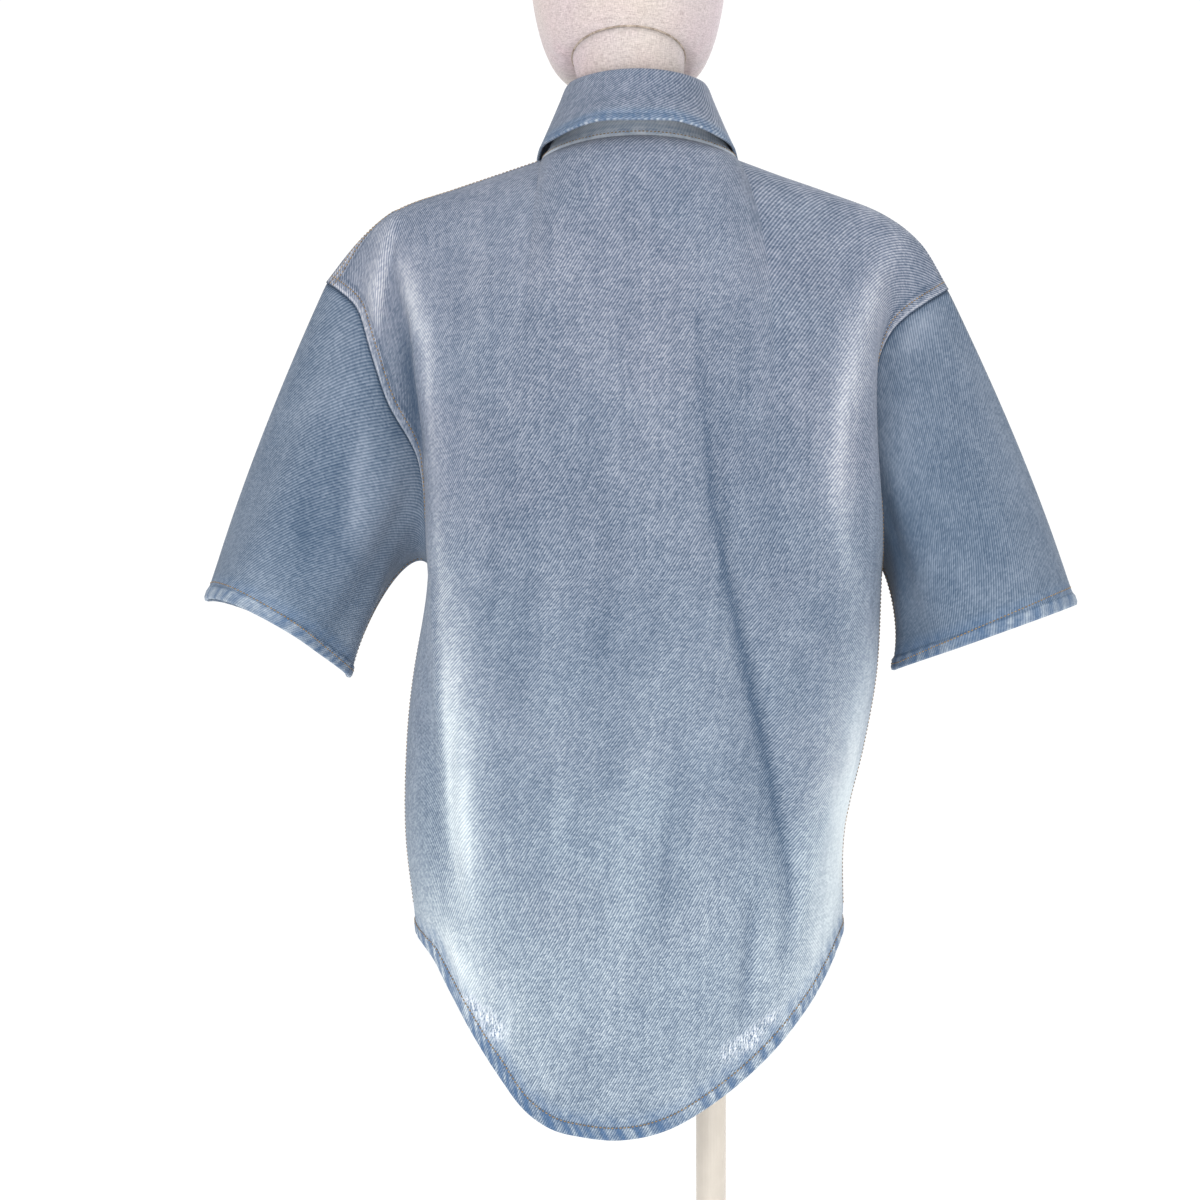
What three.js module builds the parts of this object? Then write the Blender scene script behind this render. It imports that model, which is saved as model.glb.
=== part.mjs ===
// Boxy short-sleeved denim shirt on a limbless dress form with a round base.
// Millimetres, +Z up. The shirt's front faces +Y and its left sleeve lies at -X.
// The origin is the centre of the base's underside.
import * as THREE from 'three';

// Cloth
const WALL = 2.0;
const HEM_WALL = 3.4;
const SEAM_GAP = 0.4;
const CROWDED_GAP = 0.8;
const HEM_BAND = 10.5;
const HEM_STEP = 2.0;
const LAYER_GAP = 0.4;

// Cutting grid: nodes across and along the panels
const SHOULDER_STEPS = 10;
const BACK_NECK_STEPS = 12;
const FRONT_NECK_STEPS = 5;
const ARMHOLE_STEPS = 11;
const SKIRT_STEPS = 9;
const SLEEVE_STEPS = 7;
const SECTION_SAMPLES = 24;
const LINE_SAMPLES = 12;
const SLOPE_STEP = 0.01;

// Placket, buttons and collar
const PLACKET_HALF = 17;
const PLACKET_WALL = 1.8;
const BUTTON = { radius: 7.5, thick: 2.6, rim: 1.6, dish: 0.7, edge: 0.5, segments: 20 };
const PLACKET_BUTTON_LEVELS = [1372, 1282, 1192, 1102, 1012, 922];
const STAND_WALL = 2.0;
const LEAF_WALL = 2.2;
const LEAF_ROLL = 2.3;
const LEAF_BELLY = 3;
const LEAF_OPEN_ANGLE = 11;
const LEAF_STEPS = 40;
const LEAF_CREST = 2.6;
const LEAF_FALL = [0.22, 0.48, 0.76, 1];
const STAND_SHARES = [0, 0.34, 0.68, 1];
const STAND_HOLLOW = 2.5;
const STAND_BUTTON_LIFT = 1.04;
const RING_POWER = 1.7;

// Heights that the panels share
const UNDERARM = 1110;
const SIDE_SEAM_Y = 4;
const LEAN_LEFT = 2.3;
const LEAN_RIGHT = 6;
const PULL_REACH = 7;
const PULL_POWER = 1.3;
const ARC_POWER = 0.87;

// Horizontal sections of the skirt of the shirt, from the side notches up to the underarm:
// where the side seams, the back and the front lie, and how square each corner is.
const SKIRT = [
  { z: 640, left: -168, right: 158, back: -118, front: 104, squareLeft: 3.2, squareRight: 2.6 },
  { z: 816, left: -179, right: 169, back: -127, front: 113, squareLeft: 3.3, squareRight: 2.6 },
  { z: 898, left: -188, right: 170, back: -129, front: 118, squareLeft: 3.4, squareRight: 2.6 },
  { z: 974, left: -187, right: 187, back: -129, front: 122, squareLeft: 3.6, squareRight: 2.6 },
  { z: 1032, left: -181, right: 197, back: -127, front: 125, squareLeft: 4.0, squareRight: 2.7 },
  { z: 1110, left: -166, right: 201, back: -122, front: 126, squareLeft: 4.6, squareRight: 3.0 },
];

// Lower edge of the curved hem: share of the way across the panel, and height.
const BACK_HEM = [
  { share: 0, z: 820 },
  { share: 0.1, z: 816 },
  { share: 0.17, z: 803 },
  { share: 0.21, z: 777 },
  { share: 0.25, z: 744 },
  { share: 0.29, z: 713 },
  { share: 0.33, z: 686 },
  { share: 0.37, z: 671 },
  { share: 0.41, z: 664.5 },
  { share: 0.49, z: 660.5 },
  { share: 0.57, z: 669 },
  { share: 0.65, z: 692 },
  { share: 0.73, z: 724 },
  { share: 0.81, z: 764 },
  { share: 0.86, z: 790 },
  { share: 0.91, z: 810 },
  { share: 1, z: 820 },
];
const FRONT_HEM = [
  { share: 0, z: 820 },
  { share: 0.1, z: 810 },
  { share: 0.2, z: 780 },
  { share: 0.3, z: 742 },
  { share: 0.4, z: 716 },
  { share: 0.5, z: 708 },
  { share: 0.6, z: 716 },
  { share: 0.7, z: 742 },
  { share: 0.8, z: 780 },
  { share: 0.9, z: 810 },
  { share: 1, z: 820 },
];

// Armhole seams from the drop-shoulder point down to the underarm:
// one height and side place, with the back half's and the front half's depth.
const ARMHOLE_LEFT = [
  { z: 1351, x: -254, back: -8, front: -8 },
  { z: 1344, x: -244, back: -21, front: 6 },
  { z: 1328, x: -228, back: -33, front: 20 },
  { z: 1291, x: -216, back: -45, front: 36 },
  { z: 1250, x: -202, back: -50, front: 45 },
  { z: 1204, x: -177, back: -52, front: 48 },
  { z: 1151, x: -170, back: -46, front: 44 },
  { z: 1122, x: -169, back: -27, front: 34 },
  { z: UNDERARM, x: -166, back: SIDE_SEAM_Y, front: SIDE_SEAM_Y },
];
const ARMHOLE_RIGHT = [
  { z: 1346, x: 257, back: 0, front: 0 },
  { z: 1334, x: 238, back: -20, front: 16 },
  { z: 1322, x: 221, back: -31, front: 26 },
  { z: 1308, x: 207, back: -40, front: 34 },
  { z: 1280, x: 194, back: -48, front: 42 },
  { z: 1240, x: 190, back: -52, front: 47 },
  { z: 1196, x: 193, back: -52, front: 47 },
  { z: 1156, x: 198, back: -46, front: 42 },
  { z: 1124, x: 200, back: -27, front: 29 },
  { z: UNDERARM, x: 201, back: SIDE_SEAM_Y, front: SIDE_SEAM_Y },
];

// Shoulder seams from the drop-shoulder point over the form's tip up to the neck.
const SHOULDER_LEFT = [
  { x: -254, y: -8, z: 1351 },
  { x: -226, y: -6, z: 1386 },
  { x: -196, y: -1, z: 1410 },
  { x: -150, y: 4, z: 1427 },
  { x: -112, y: 6, z: 1440 },
  { x: -77, y: 6, z: 1452 },
];
const SHOULDER_RIGHT = [
  { x: 257, y: 0, z: 1346 },
  { x: 234, y: 2, z: 1384 },
  { x: 205, y: 4, z: 1407 },
  { x: 158, y: 6, z: 1426 },
  { x: 118, y: 6, z: 1440 },
  { x: 83, y: 6, z: 1453 },
];

// Neckline ring, and the fold ring at the top of the collar stand.
const NECKLINE = {
  x: 3,
  y: 3,
  halfWidth: 80,
  back: 61,
  front: 64,
  zSide: 1452.5,
  zBack: 1466,
  zFront: 1410,
};
const FOLD = {
  x: 1,
  y: 11,
  halfWidth: 53.5,
  back: 63,
  front: 62,
  zSide: 1511,
  zBack: 1516,
  zFront: 1448,
};

// Lower edge of the collar leaf by its angle from the centre front, towards the wearer's right.
const LEAF_EDGE = [
  { angle: 11, x: 34, y: 106, z: 1382 },
  { angle: 30, x: 64, y: 101, z: 1388 },
  { angle: 55, x: 84, y: 62, z: 1438 },
  { angle: 90, x: 83, y: 8, z: 1458 },
  { angle: 130, x: 70, y: -48, z: 1466 },
  { angle: 160, x: 36, y: -77, z: 1476 },
  { angle: 180, x: 1, y: -81, z: 1477 },
  { angle: 200, x: -34, y: -77, z: 1476 },
  { angle: 230, x: -67, y: -48, z: 1466 },
  { angle: 270, x: -80, y: 8, z: 1460 },
  { angle: 305, x: -79, y: 62, z: 1438 },
  { angle: 330, x: -60, y: 101, z: 1388 },
  { angle: 349, x: -31, y: 106, z: 1382 },
];

// Sleeve hems: the outer and the underarm point, half the depth across them, how far the back and
// the front halves of the hem lie above the line between them, the outward belly of the cloth,
// and how far the underarm side is pinched in towards the sleeve's middle, clear of the body.
const SLEEVE_LEFT = {
  outer: [-354, -4, 1089],
  inner: [-240, 8, 1027],
  halfDepth: 82,
  liftBack: 15,
  liftFront: 8,
  belly: 6,
  pinch: 27,
};
const SLEEVE_RIGHT = {
  outer: [363, 2, 1086],
  inner: [216, 14, 1033],
  halfDepth: 72,
  liftBack: 2,
  liftFront: -4,
  belly: 6,
  pinch: 17,
};

// Largest folds of the back and the fronts, each along a bent line seen square on:
// two ends and a middle, the half-width of the fold and its rise (troughs are negative).
const BACK_FOLDS = [
  { x1: -187, z1: 1360, x2: -168, z2: 1285, x3: -163, z3: 1205, width: 13, rise: 9 },
  { x1: -163, z1: 1200, x2: -157, z2: 1100, x3: -153, z3: 905, width: 14, rise: 8 },
  { x1: -197, z1: 1385, x2: -203, z2: 1340, x3: -208, z3: 1300, width: 11, rise: 5 },
  { x1: -186, z1: 1320, x2: -184, z2: 1262, x3: -172, z3: 1205, width: 11, rise: -7 },
  { x1: 48, z1: 1320, x2: 72, z2: 1120, x3: 119, z3: 870, width: 15, rise: -5 },
  { x1: 24, z1: 1240, x2: 44, z2: 1040, x3: 66, z3: 800, width: 26, rise: 4 },
  { x1: 142, z1: 1040, x2: 140, z2: 900, x3: 118, z3: 790, width: 18, rise: 4 },
  { x1: 93, z1: 860, x2: 88, z2: 800, x3: 82, z3: 735, width: 11, rise: -3.5 },
  { x1: 198, z1: 1378, x2: 186, z2: 1330, x3: 170, z3: 1230, width: 14, rise: 5 },
  { x1: -140, z1: 985, x2: -136, z2: 910, x3: -130, z3: 840, width: 9, rise: 3 },
  { x1: -100, z1: 785, x2: -103, z2: 750, x3: -105, z3: 712, width: 9, rise: -4 },
  { x1: -40, z1: 1200, x2: -36, z2: 1130, x3: -30, z3: 1050, width: 16, rise: -2.5 },
];
const FRONT_FOLDS = [
  { x1: -190, z1: 1372, x2: -172, z2: 1280, x3: -150, z3: 1150, width: 15, rise: 7 },
  { x1: 196, z1: 1368, x2: 176, z2: 1280, x3: 158, z3: 1150, width: 15, rise: 6 },
  { x1: -96, z1: 1180, x2: -112, z2: 1000, x3: -120, z3: 800, width: 20, rise: 5 },
  { x1: 92, z1: 1190, x2: 118, z2: 1010, x3: 126, z3: 800, width: 22, rise: 5 },
  { x1: -60, z1: 1120, x2: -70, z2: 960, x3: -72, z3: 780, width: 16, rise: -5 },
  { x1: 58, z1: 1100, x2: 66, z2: 950, x3: 74, z3: 770, width: 15, rise: -4 },
  { x1: -158, z1: 1060, x2: -160, z2: 960, x3: -150, z3: 860, width: 14, rise: 4 },
];

// Folds of the sleeves by place along (0 seam, 1 hem) and by the angle round from the outer edge
// over the back.
const SLEEVE_FOLDS = [
  { along1: 0.3, angle1: 148, along2: 1.0, angle2: 166, width: 13, rise: 5 },
  { along1: 0.1, angle1: 120, along2: 0.75, angle2: 132, width: 13, rise: -4 },
  { along1: 0.45, angle1: 52, along2: 1.0, angle2: 60, width: 17, rise: 2.5 },
  { along1: 0.15, angle1: 205, along2: 0.8, angle2: 214, width: 13, rise: -3.5 },
  { along1: 0.2, angle1: 288, along2: 1.0, angle2: 280, width: 17, rise: 3 },
];
const FOLD_FADE = 22;
const FOLD_TAPER = { start: 0.12, run: 0.76 };
const SLEEVE_FOLD_BLEND = { lead: 0.1, run: 0.25, seam: 0.15 };

// Dress form, from the foot of the torso up to the joint under the head.
const FORM = [
  { z: 778, x: -4, y: 0, halfWidth: 132, halfDepth: 90 },
  { z: 790, x: -4, y: 0, halfWidth: 142, halfDepth: 98 },
  { z: 840, x: -3, y: 0, halfWidth: 150, halfDepth: 102 },
  { z: 910, x: 0, y: 0, halfWidth: 146, halfDepth: 97 },
  { z: 1000, x: 4, y: 0, halfWidth: 126, halfDepth: 84 },
  { z: 1080, x: 5, y: 2, halfWidth: 132, halfDepth: 90 },
  { z: 1180, x: 5, y: 4, halfWidth: 148, halfDepth: 102 },
  { z: 1250, x: 5, y: 4, halfWidth: 154, halfDepth: 100 },
  { z: 1310, x: 5, y: 2, halfWidth: 164, halfDepth: 88 },
  { z: 1350, x: 5, y: 2, halfWidth: 182, halfDepth: 72 },
  { z: 1376, x: 5, y: 2, halfWidth: 192, halfDepth: 56 },
  { z: 1396, x: 5, y: 3, halfWidth: 192, halfDepth: 42 },
  { z: 1405.3, x: 4.6, y: 4, halfWidth: 184, halfDepth: 38 },
  { z: 1414.2, x: 4, y: 5, halfWidth: 164, halfDepth: 38 },
  { z: 1424.2, x: 3.6, y: 5, halfWidth: 136, halfDepth: 40 },
  { z: 1435.4, x: 3.2, y: 5, halfWidth: 104, halfDepth: 41 },
  { z: 1444, x: 1.5, y: -1, halfWidth: 74, halfDepth: 38 },
  { z: 1458, x: -1, y: -1, halfWidth: 55, halfDepth: 41 },
  { z: 1480, x: -3.5, y: 0, halfWidth: 44.5, halfDepth: 43 },
  { z: 1516, x: -4, y: 0, halfWidth: 43.2, halfDepth: 42 },
];
const FORM_SEGMENTS = 28;
const FORM_POWER = 2.0;
const NECK_JOINT = { x: -6, y: 0, z: 1538, tilt: 23.5, halfWidth: 46.5, halfDepth: 49 };

// Plain smooth head, cut in sections square to the tilted neck joint.
const HEAD = [
  { rise: 0.35, forward: 0, halfWidth: 46.5, halfDepth: 49 },
  { rise: 3, forward: 10, halfWidth: 57, halfDepth: 62 },
  { rise: 14, forward: 16, halfWidth: 66, halfDepth: 77 },
  { rise: 40, forward: 16, halfWidth: 75, halfDepth: 90 },
  { rise: 75, forward: 12, halfWidth: 81, halfDepth: 98 },
  { rise: 110, forward: 6, halfWidth: 80, halfDepth: 97 },
  { rise: 142, forward: 2, halfWidth: 70, halfDepth: 84 },
  { rise: 166, forward: 0, halfWidth: 52, halfDepth: 62 },
  { rise: 180, forward: -1, halfWidth: 30, halfDepth: 36 },
  { rise: 185, forward: -1, halfWidth: 12, halfDepth: 14 },
];

// Pole and base
const POLE = { x: 62, y: -6, radius: 12.5 };
const SOCKET = { radius: 24, lip: 27, lipHeight: 4, height: 14 };
const BASE = { radius: 170, height: 9, edge: 2.5, segments: 64 };
const HUB = { radius: 26, topRadius: 18, collar: 6, height: 34 };
const TURNED_SEGMENTS = 32;

// Colours and finishes
const DENIM = { color: 0x8fa6bf, roughness: 0.9, metalness: 0 };
const SHELL = { color: 0xcfc8b4, roughness: 0.35, metalness: 0 };
const LINEN = { color: 0xe3dcd8, roughness: 0.85, metalness: 0 };
const CREAM = { color: 0xd9d2c4, roughness: 0.4, metalness: 0.2 };

const object = new THREE.Group();

// A mesh of one closed body in its own material, added to the object.
function addPart(name, geometry, finish, place) {
  const mesh = new THREE.Mesh(geometry, new THREE.MeshStandardMaterial(finish));
  mesh.name = name;
  if (place) mesh.applyMatrix4(place);
  object.add(mesh);
}

function fromTriangles(points, triangles) {
  const geometry = new THREE.BufferGeometry();
  const values = points.flatMap((p) => p.toArray());
  geometry.setAttribute('position', new THREE.Float32BufferAttribute(values, 3));
  geometry.setIndex(triangles);
  geometry.computeVertexNormals();
  return geometry;
}

// Value of a table's column between its rows, on a smooth curve through them.
function column(table, key, name, at) {
  const last = table.length - 1;
  const x = THREE.MathUtils.clamp(at, table[0][key], table[last][key]);
  let i = 0;
  while (i < last - 1 && x > table[i + 1][key]) i += 1;
  const slope = (k) => {
    const a = table[Math.max(k - 1, 0)];
    const b = table[Math.min(k + 1, last)];
    return (b[name] - a[name]) / (b[key] - a[key]);
  };
  const span = table[i + 1][key] - table[i][key];
  const t = (x - table[i][key]) / span;
  const from = table[i][name];
  const to = table[i + 1][name];
  const out = slope(i) * span;
  const into = slope(i + 1) * span;
  const square = 3 * (to - from) - 2 * out - into;
  const cube = 2 * (from - to) + out + into;
  return from + t * (out + t * (square + t * cube));
}

// Points at the given shares of a polyline's length.
function atShares(line, shares) {
  const lengths = [0];
  for (let i = 1; i < line.length; i += 1) {
    lengths.push(lengths[i - 1] + line[i].distanceTo(line[i - 1]));
  }
  const total = lengths[line.length - 1];
  return shares.map((share) => {
    const want = THREE.MathUtils.clamp(share, 0, 1) * total;
    let i = 1;
    while (i < line.length - 1 && lengths[i] < want) i += 1;
    return line[i - 1].clone().lerp(line[i], (want - lengths[i - 1]) / (lengths[i] - lengths[i - 1]));
  });
}

function evenShares(steps) {
  return Array.from({ length: steps + 1 }, (_, i) => i / steps);
}

function smoothLine(rows, steps) {
  const curve = new THREE.CatmullRomCurve3(rows, false, 'centripetal');
  return atShares(curve.getPoints(rows.length * LINE_SAMPLES), evenShares(steps));
}

// Half of a horizontal section of the skirt, from one side seam to the other.
function skirtHalf(z, side) {
  const at = (name) => column(SKIRT, 'z', name, z);
  const centre = (at('left') + at('right')) / 2;
  const quarter = (edge, square) => {
    const line = [];
    for (let i = 0; i <= SECTION_SAMPLES; i += 1) {
      const angle = (i / SECTION_SAMPLES) * Math.PI / 2;
      const x = centre + (edge - centre) * Math.cos(angle) ** (2 / square);
      const y = SIDE_SEAM_Y + (at(side) - SIDE_SEAM_Y) * Math.sin(angle) ** (2 / square);
      line.push(new THREE.Vector3(x, y, z));
    }
    return line;
  };
  const left = quarter(at('left'), at('squareLeft'));
  const right = quarter(at('right'), at('squareRight'));
  const line = [...left, ...right.reverse().slice(1)];
  return side === 'back' ? line : line.reverse();
}

// Length across a section, used to turn the placket's width into a share of it.
function lengthOf(line) {
  return line.slice(1).reduce((sum, p, i) => sum + p.distanceTo(line[i]), 0);
}

// Ring at the neckline or the collar's fold: angle 0 is the centre front, 90 the wearer's right.
function ringPoint(ring, degrees) {
  const angle = THREE.MathUtils.degToRad(degrees);
  const front = Math.cos(angle);
  const z = front > 0
    ? ring.zSide + (ring.zFront - ring.zSide) * front ** RING_POWER
    : ring.zSide + (ring.zBack - ring.zSide) * (-front) ** RING_POWER;
  const depth = front > 0 ? ring.front : ring.back;
  return new THREE.Vector3(ring.x + ring.halfWidth * Math.sin(angle), ring.y + depth * front, z);
}

// Angles round the neck of the panels' nodes. The placket's edge takes the first one from the centre.
const placketAngle = THREE.MathUtils.radToDeg(Math.asin(PLACKET_HALF / NECKLINE.halfWidth));
const frontNeckAngles = [0];
for (let i = 0; i < FRONT_NECK_STEPS; i += 1) {
  frontNeckAngles.push(THREE.MathUtils.lerp(placketAngle, 90, i / (FRONT_NECK_STEPS - 1)));
}
const backNeckAngles = evenShares(BACK_NECK_STEPS).map((share) => 270 - 180 * share);

const toVectors = (rows) => rows.map((row) => new THREE.Vector3(row.x, row.y, row.z));
const shoulderLeft = smoothLine(toVectors(SHOULDER_LEFT), SHOULDER_STEPS);
const shoulderRight = smoothLine(toVectors(SHOULDER_RIGHT), SHOULDER_STEPS);
const neckLeft = shoulderLeft[SHOULDER_STEPS];
const neckRight = shoulderRight[SHOULDER_STEPS];

// The neckline meets the shoulder seams exactly at their upper ends.
function neckPoint(degrees) {
  const point = ringPoint(NECKLINE, degrees);
  if (Math.abs(degrees - 270) < 1e-6) return neckLeft.clone();
  if (Math.abs(degrees - 90) < 1e-6) return neckRight.clone();
  return point;
}

// Armhole halves from the underarm up to the drop-shoulder point.
function armhole(table, half) {
  const rows = table.map((row) => new THREE.Vector3(row.x, row[half], row.z));
  return smoothLine(rows, ARMHOLE_STEPS).reverse();
}

// Top edges of the panels, and the matching shares of their width at the underarm.
const backTop = [
  ...shoulderLeft,
  ...backNeckAngles.slice(1, -1).map(neckPoint),
  ...shoulderRight.slice().reverse(),
];
const frontRightTop = [...shoulderRight, ...frontNeckAngles.slice(0, -1).reverse().map(neckPoint)];
const frontLeftTop = [
  ...frontNeckAngles.slice(0, -1).map((angle) => neckPoint(360 - angle)),
  ...shoulderLeft.slice().reverse(),
];
const frontWidth = lengthOf(skirtHalf(UNDERARM, 'front'));
const placketShare = PLACKET_HALF / frontWidth;
const frontColumns = SHOULDER_STEPS + FRONT_NECK_STEPS;
const frontShares = evenShares(frontColumns - 1).map((share) => share * (0.5 - placketShare));
const frontRightShares = [...frontShares, 0.5];
const frontLeftShares = [0.5, ...frontShares.map((share) => 1 - share).reverse()];
const backShares = evenShares(backTop.length - 1);

// How late a column swings out to the armhole on its way up: soon at the left, late at the right.
const leanAt = (share) => THREE.MathUtils.lerp(LEAN_LEFT, LEAN_RIGHT, share);

// Panel grid: rows from the hem up to the underarm, then on to the top edge.
// Above the underarm each column leans over in an elliptic arc, and the armhole's seam bends
// its side in.
function panelGrid(spec) {
  const { side, hem, shares, top, leftEdge, rightEdge } = spec;
  const width = lengthOf(skirtHalf(UNDERARM, side));
  const rows = [];
  const bandLift = (share) => {
    const edgeAt = (place) => column(hem, 'share', 'z', place);
    const climb = edgeAt(share + SLOPE_STEP) - edgeAt(share - SLOPE_STEP);
    return Math.hypot(1, climb / (2 * SLOPE_STEP * width));
  };
  const skirtPoint = (z, share) => atShares(skirtHalf(z, side), [share])[0];
  for (let r = 0; r <= SKIRT_STEPS + 2; r += 1) {
    rows.push(shares.map((share) => {
      const edge = column(hem, 'share', 'z', share);
      const band = edge + HEM_BAND * bandLift(share);
      const body = band + HEM_STEP;
      const levels = [edge, band];
      const z = r < 2 ? levels[r] : THREE.MathUtils.lerp(body, UNDERARM, (r - 2) / SKIRT_STEPS);
      return skirtPoint(z, share);
    }));
  }
  const base = rows[rows.length - 1];
  const arc = (from, to, power) => {
    const line = [];
    for (let i = 0; i <= SECTION_SAMPLES; i += 1) {
      const angle = (i / SECTION_SAMPLES) * Math.PI / 2;
      const up = Math.sin(angle) ** ARC_POWER;
      const over = 1 - Math.cos(angle) ** ARC_POWER;
      line.push(new THREE.Vector3(
        THREE.MathUtils.lerp(from.x, to.x, up ** power),
        THREE.MathUtils.lerp(from.y, to.y, over),
        THREE.MathUtils.lerp(from.z, to.z, up),
      ));
    }
    return atShares(line, evenShares(ARMHOLE_STEPS));
  };
  const lean = (share) => leanAt(side === 'back' ? share : 1 - share);
  const arcs = shares.map((share, c) => arc(base[c], top[c], lean(share)));
  const last = shares.length - 1;
  for (let r = 1; r <= ARMHOLE_STEPS; r += 1) {
    rows.push(shares.map((_, c) => {
      const point = arcs[c][r].clone();
      const pull = (edge, arcEdge, steps) => {
        if (!edge || steps >= PULL_REACH) return;
        const weight = (1 - steps / PULL_REACH) ** PULL_POWER;
        point.addScaledVector(edge[r].clone().sub(arcEdge[r]), weight);
      };
      pull(leftEdge, arcs[0], c);
      pull(rightEdge, arcs[last], last - c);
      return point;
    }));
  }
  return rows;
}

const holes = {
  leftBack: armhole(ARMHOLE_LEFT, 'back'),
  leftFront: armhole(ARMHOLE_LEFT, 'front'),
  rightBack: armhole(ARMHOLE_RIGHT, 'back'),
  rightFront: armhole(ARMHOLE_RIGHT, 'front'),
};

// Rise of the folds at a point seen square on.
function foldRise(folds, p) {
  let rise = 0;
  for (const fold of folds) {
    const line = [[fold.x1, fold.z1], [fold.x2, fold.z2], [fold.x3, fold.z3]];
    let best = { distance: Infinity, along: 0 };
    for (let i = 0; i < 2; i += 1) {
      const [ax, az] = line[i];
      const [bx, bz] = line[i + 1];
      const dx = bx - ax;
      const dz = bz - az;
      const t = THREE.MathUtils.clamp(((p.x - ax) * dx + (p.z - az) * dz) / (dx * dx + dz * dz), 0, 1);
      const distance = Math.hypot(p.x - ax - t * dx, p.z - az - t * dz);
      if (distance < best.distance) best = { distance, along: (i + t) / 2 };
    }
    const taper = Math.sin(Math.PI * (FOLD_TAPER.start + FOLD_TAPER.run * best.along));
    rise += fold.rise * taper * Math.exp(-((best.distance / fold.width) ** 2));
  }
  return rise;
}

// Moves a grid's nodes out along its normals, less and less towards the seams.
function fold(grid, folds, wrap = false) {
  const normals = gridNormals(grid, wrap);
  const lastRow = grid.length - 1;
  const lastColumn = grid[0].length - 1;
  const moved = grid.map((row, r) => row.map((p, c) => {
    const toSide = Math.min(p.distanceTo(row[0]), p.distanceTo(row[lastColumn]));
    const toTop = p.distanceTo(grid[lastRow][c]);
    const fade = THREE.MathUtils.smoothstep(Math.min(toSide, toTop), 0, FOLD_FADE);
    return p.clone().addScaledVector(normals[r][c], fade * foldRise(folds, p));
  }));
  return moved;
}

// Unit normals of a grid by the area of the faces round each node. Columns run first, rows second.
function gridNormals(grid, wrap) {
  const columns = grid[0].length;
  const sums = grid.map((row) => row.map(() => new THREE.Vector3()));
  for (let r = 0; r < grid.length - 1; r += 1) {
    for (let c = 0; c < (wrap ? columns : columns - 1); c += 1) {
      const d = (c + 1) % columns;
      const across = grid[r + 1][d].clone().sub(grid[r][c]);
      const down = grid[r + 1][c].clone().sub(grid[r][d]);
      const normal = across.cross(down);
      [sums[r][c], sums[r][d], sums[r + 1][c], sums[r + 1][d]].forEach((sum) => sum.add(normal));
    }
  }
  return sums.map((row) => row.map((sum) => sum.normalize()));
}

const grids = {
  back: fold(panelGrid({
    side: 'back',
    hem: BACK_HEM,
    shares: backShares,
    top: backTop,
    leftEdge: holes.leftBack,
    rightEdge: holes.rightBack,
  }), BACK_FOLDS),
  front_right: fold(panelGrid({
    side: 'front',
    hem: FRONT_HEM,
    shares: frontRightShares,
    top: frontRightTop,
    leftEdge: holes.rightFront,
  }), FRONT_FOLDS),
  front_left: fold(panelGrid({
    side: 'front',
    hem: FRONT_HEM,
    shares: frontLeftShares,
    top: frontLeftTop,
    rightEdge: holes.leftFront,
  }), FRONT_FOLDS),
};

// Sleeve: a tube from the armhole's ring to the hem's ellipse.
function sleeveGrid(spec, backHalf, frontHalf, turn) {
  const outer = new THREE.Vector3(...spec.outer);
  const inner = new THREE.Vector3(...spec.inner);
  const centre = outer.clone().lerp(inner, 0.5);
  const toOuter = outer.clone().sub(centre);
  const ring = [...backHalf.slice().reverse(), ...frontHalf.slice(1, -1)];
  const middle = ring.reduce((sum, p) => sum.add(p), new THREE.Vector3()).divideScalar(ring.length);
  const along = [0];
  const length = centre.distanceTo(middle);
  const bandStart = 1 - (HEM_BAND + HEM_STEP) / length;
  for (let i = 1; i <= SLEEVE_STEPS; i += 1) along.push((i / SLEEVE_STEPS) * bandStart);
  along.push(1 - HEM_BAND / length, 1);
  const grid = along.map((u) => ring.map((start, j) => {
    const angle = (j / ring.length) * 2 * Math.PI;
    const hemPoint = centre.clone().addScaledVector(toOuter, Math.cos(angle));
    hemPoint.y -= spec.halfDepth * Math.sin(angle);
    hemPoint.z += (Math.sin(angle) > 0 ? spec.liftBack : spec.liftFront) * Math.abs(Math.sin(angle));
    const point = start.clone().lerp(hemPoint, u);
    const axis = middle.clone().lerp(centre, u);
    const outward = point.clone().sub(axis).normalize();
    const inside = Math.max(-Math.cos(angle), 0) ** 2;
    const early = Math.sin(Math.PI * Math.sqrt(u));
    let rise = spec.belly * 4 * u * (1 - u) * (1 - inside) - spec.pinch * inside * early;
    const degrees = THREE.MathUtils.radToDeg(angle);
    for (const f of SLEEVE_FOLDS) {
      const t = THREE.MathUtils.clamp((u - f.along1) / (f.along2 - f.along1), 0, 1);
      const off = (degrees - THREE.MathUtils.lerp(f.angle1, f.angle2, t)) / f.width;
      const { lead, run, seam } = SLEEVE_FOLD_BLEND;
      const begun = THREE.MathUtils.smoothstep(u, f.along1 - lead, f.along1 + run);
      const clearOfSeam = THREE.MathUtils.smoothstep(u, 0, seam);
      rise += f.rise * begun * clearOfSeam * Math.exp(-off * off);
    }
    return point.addScaledVector(outward, rise);
  }));
  return turn ? grid.map((row) => [row[0], ...row.slice(1).reverse()]) : grid;
}
grids.sleeve_left = sleeveGrid(SLEEVE_LEFT, holes.leftBack, holes.leftFront, true);
grids.sleeve_right = sleeveGrid(SLEEVE_RIGHT, holes.rightBack, holes.rightFront, false);

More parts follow.
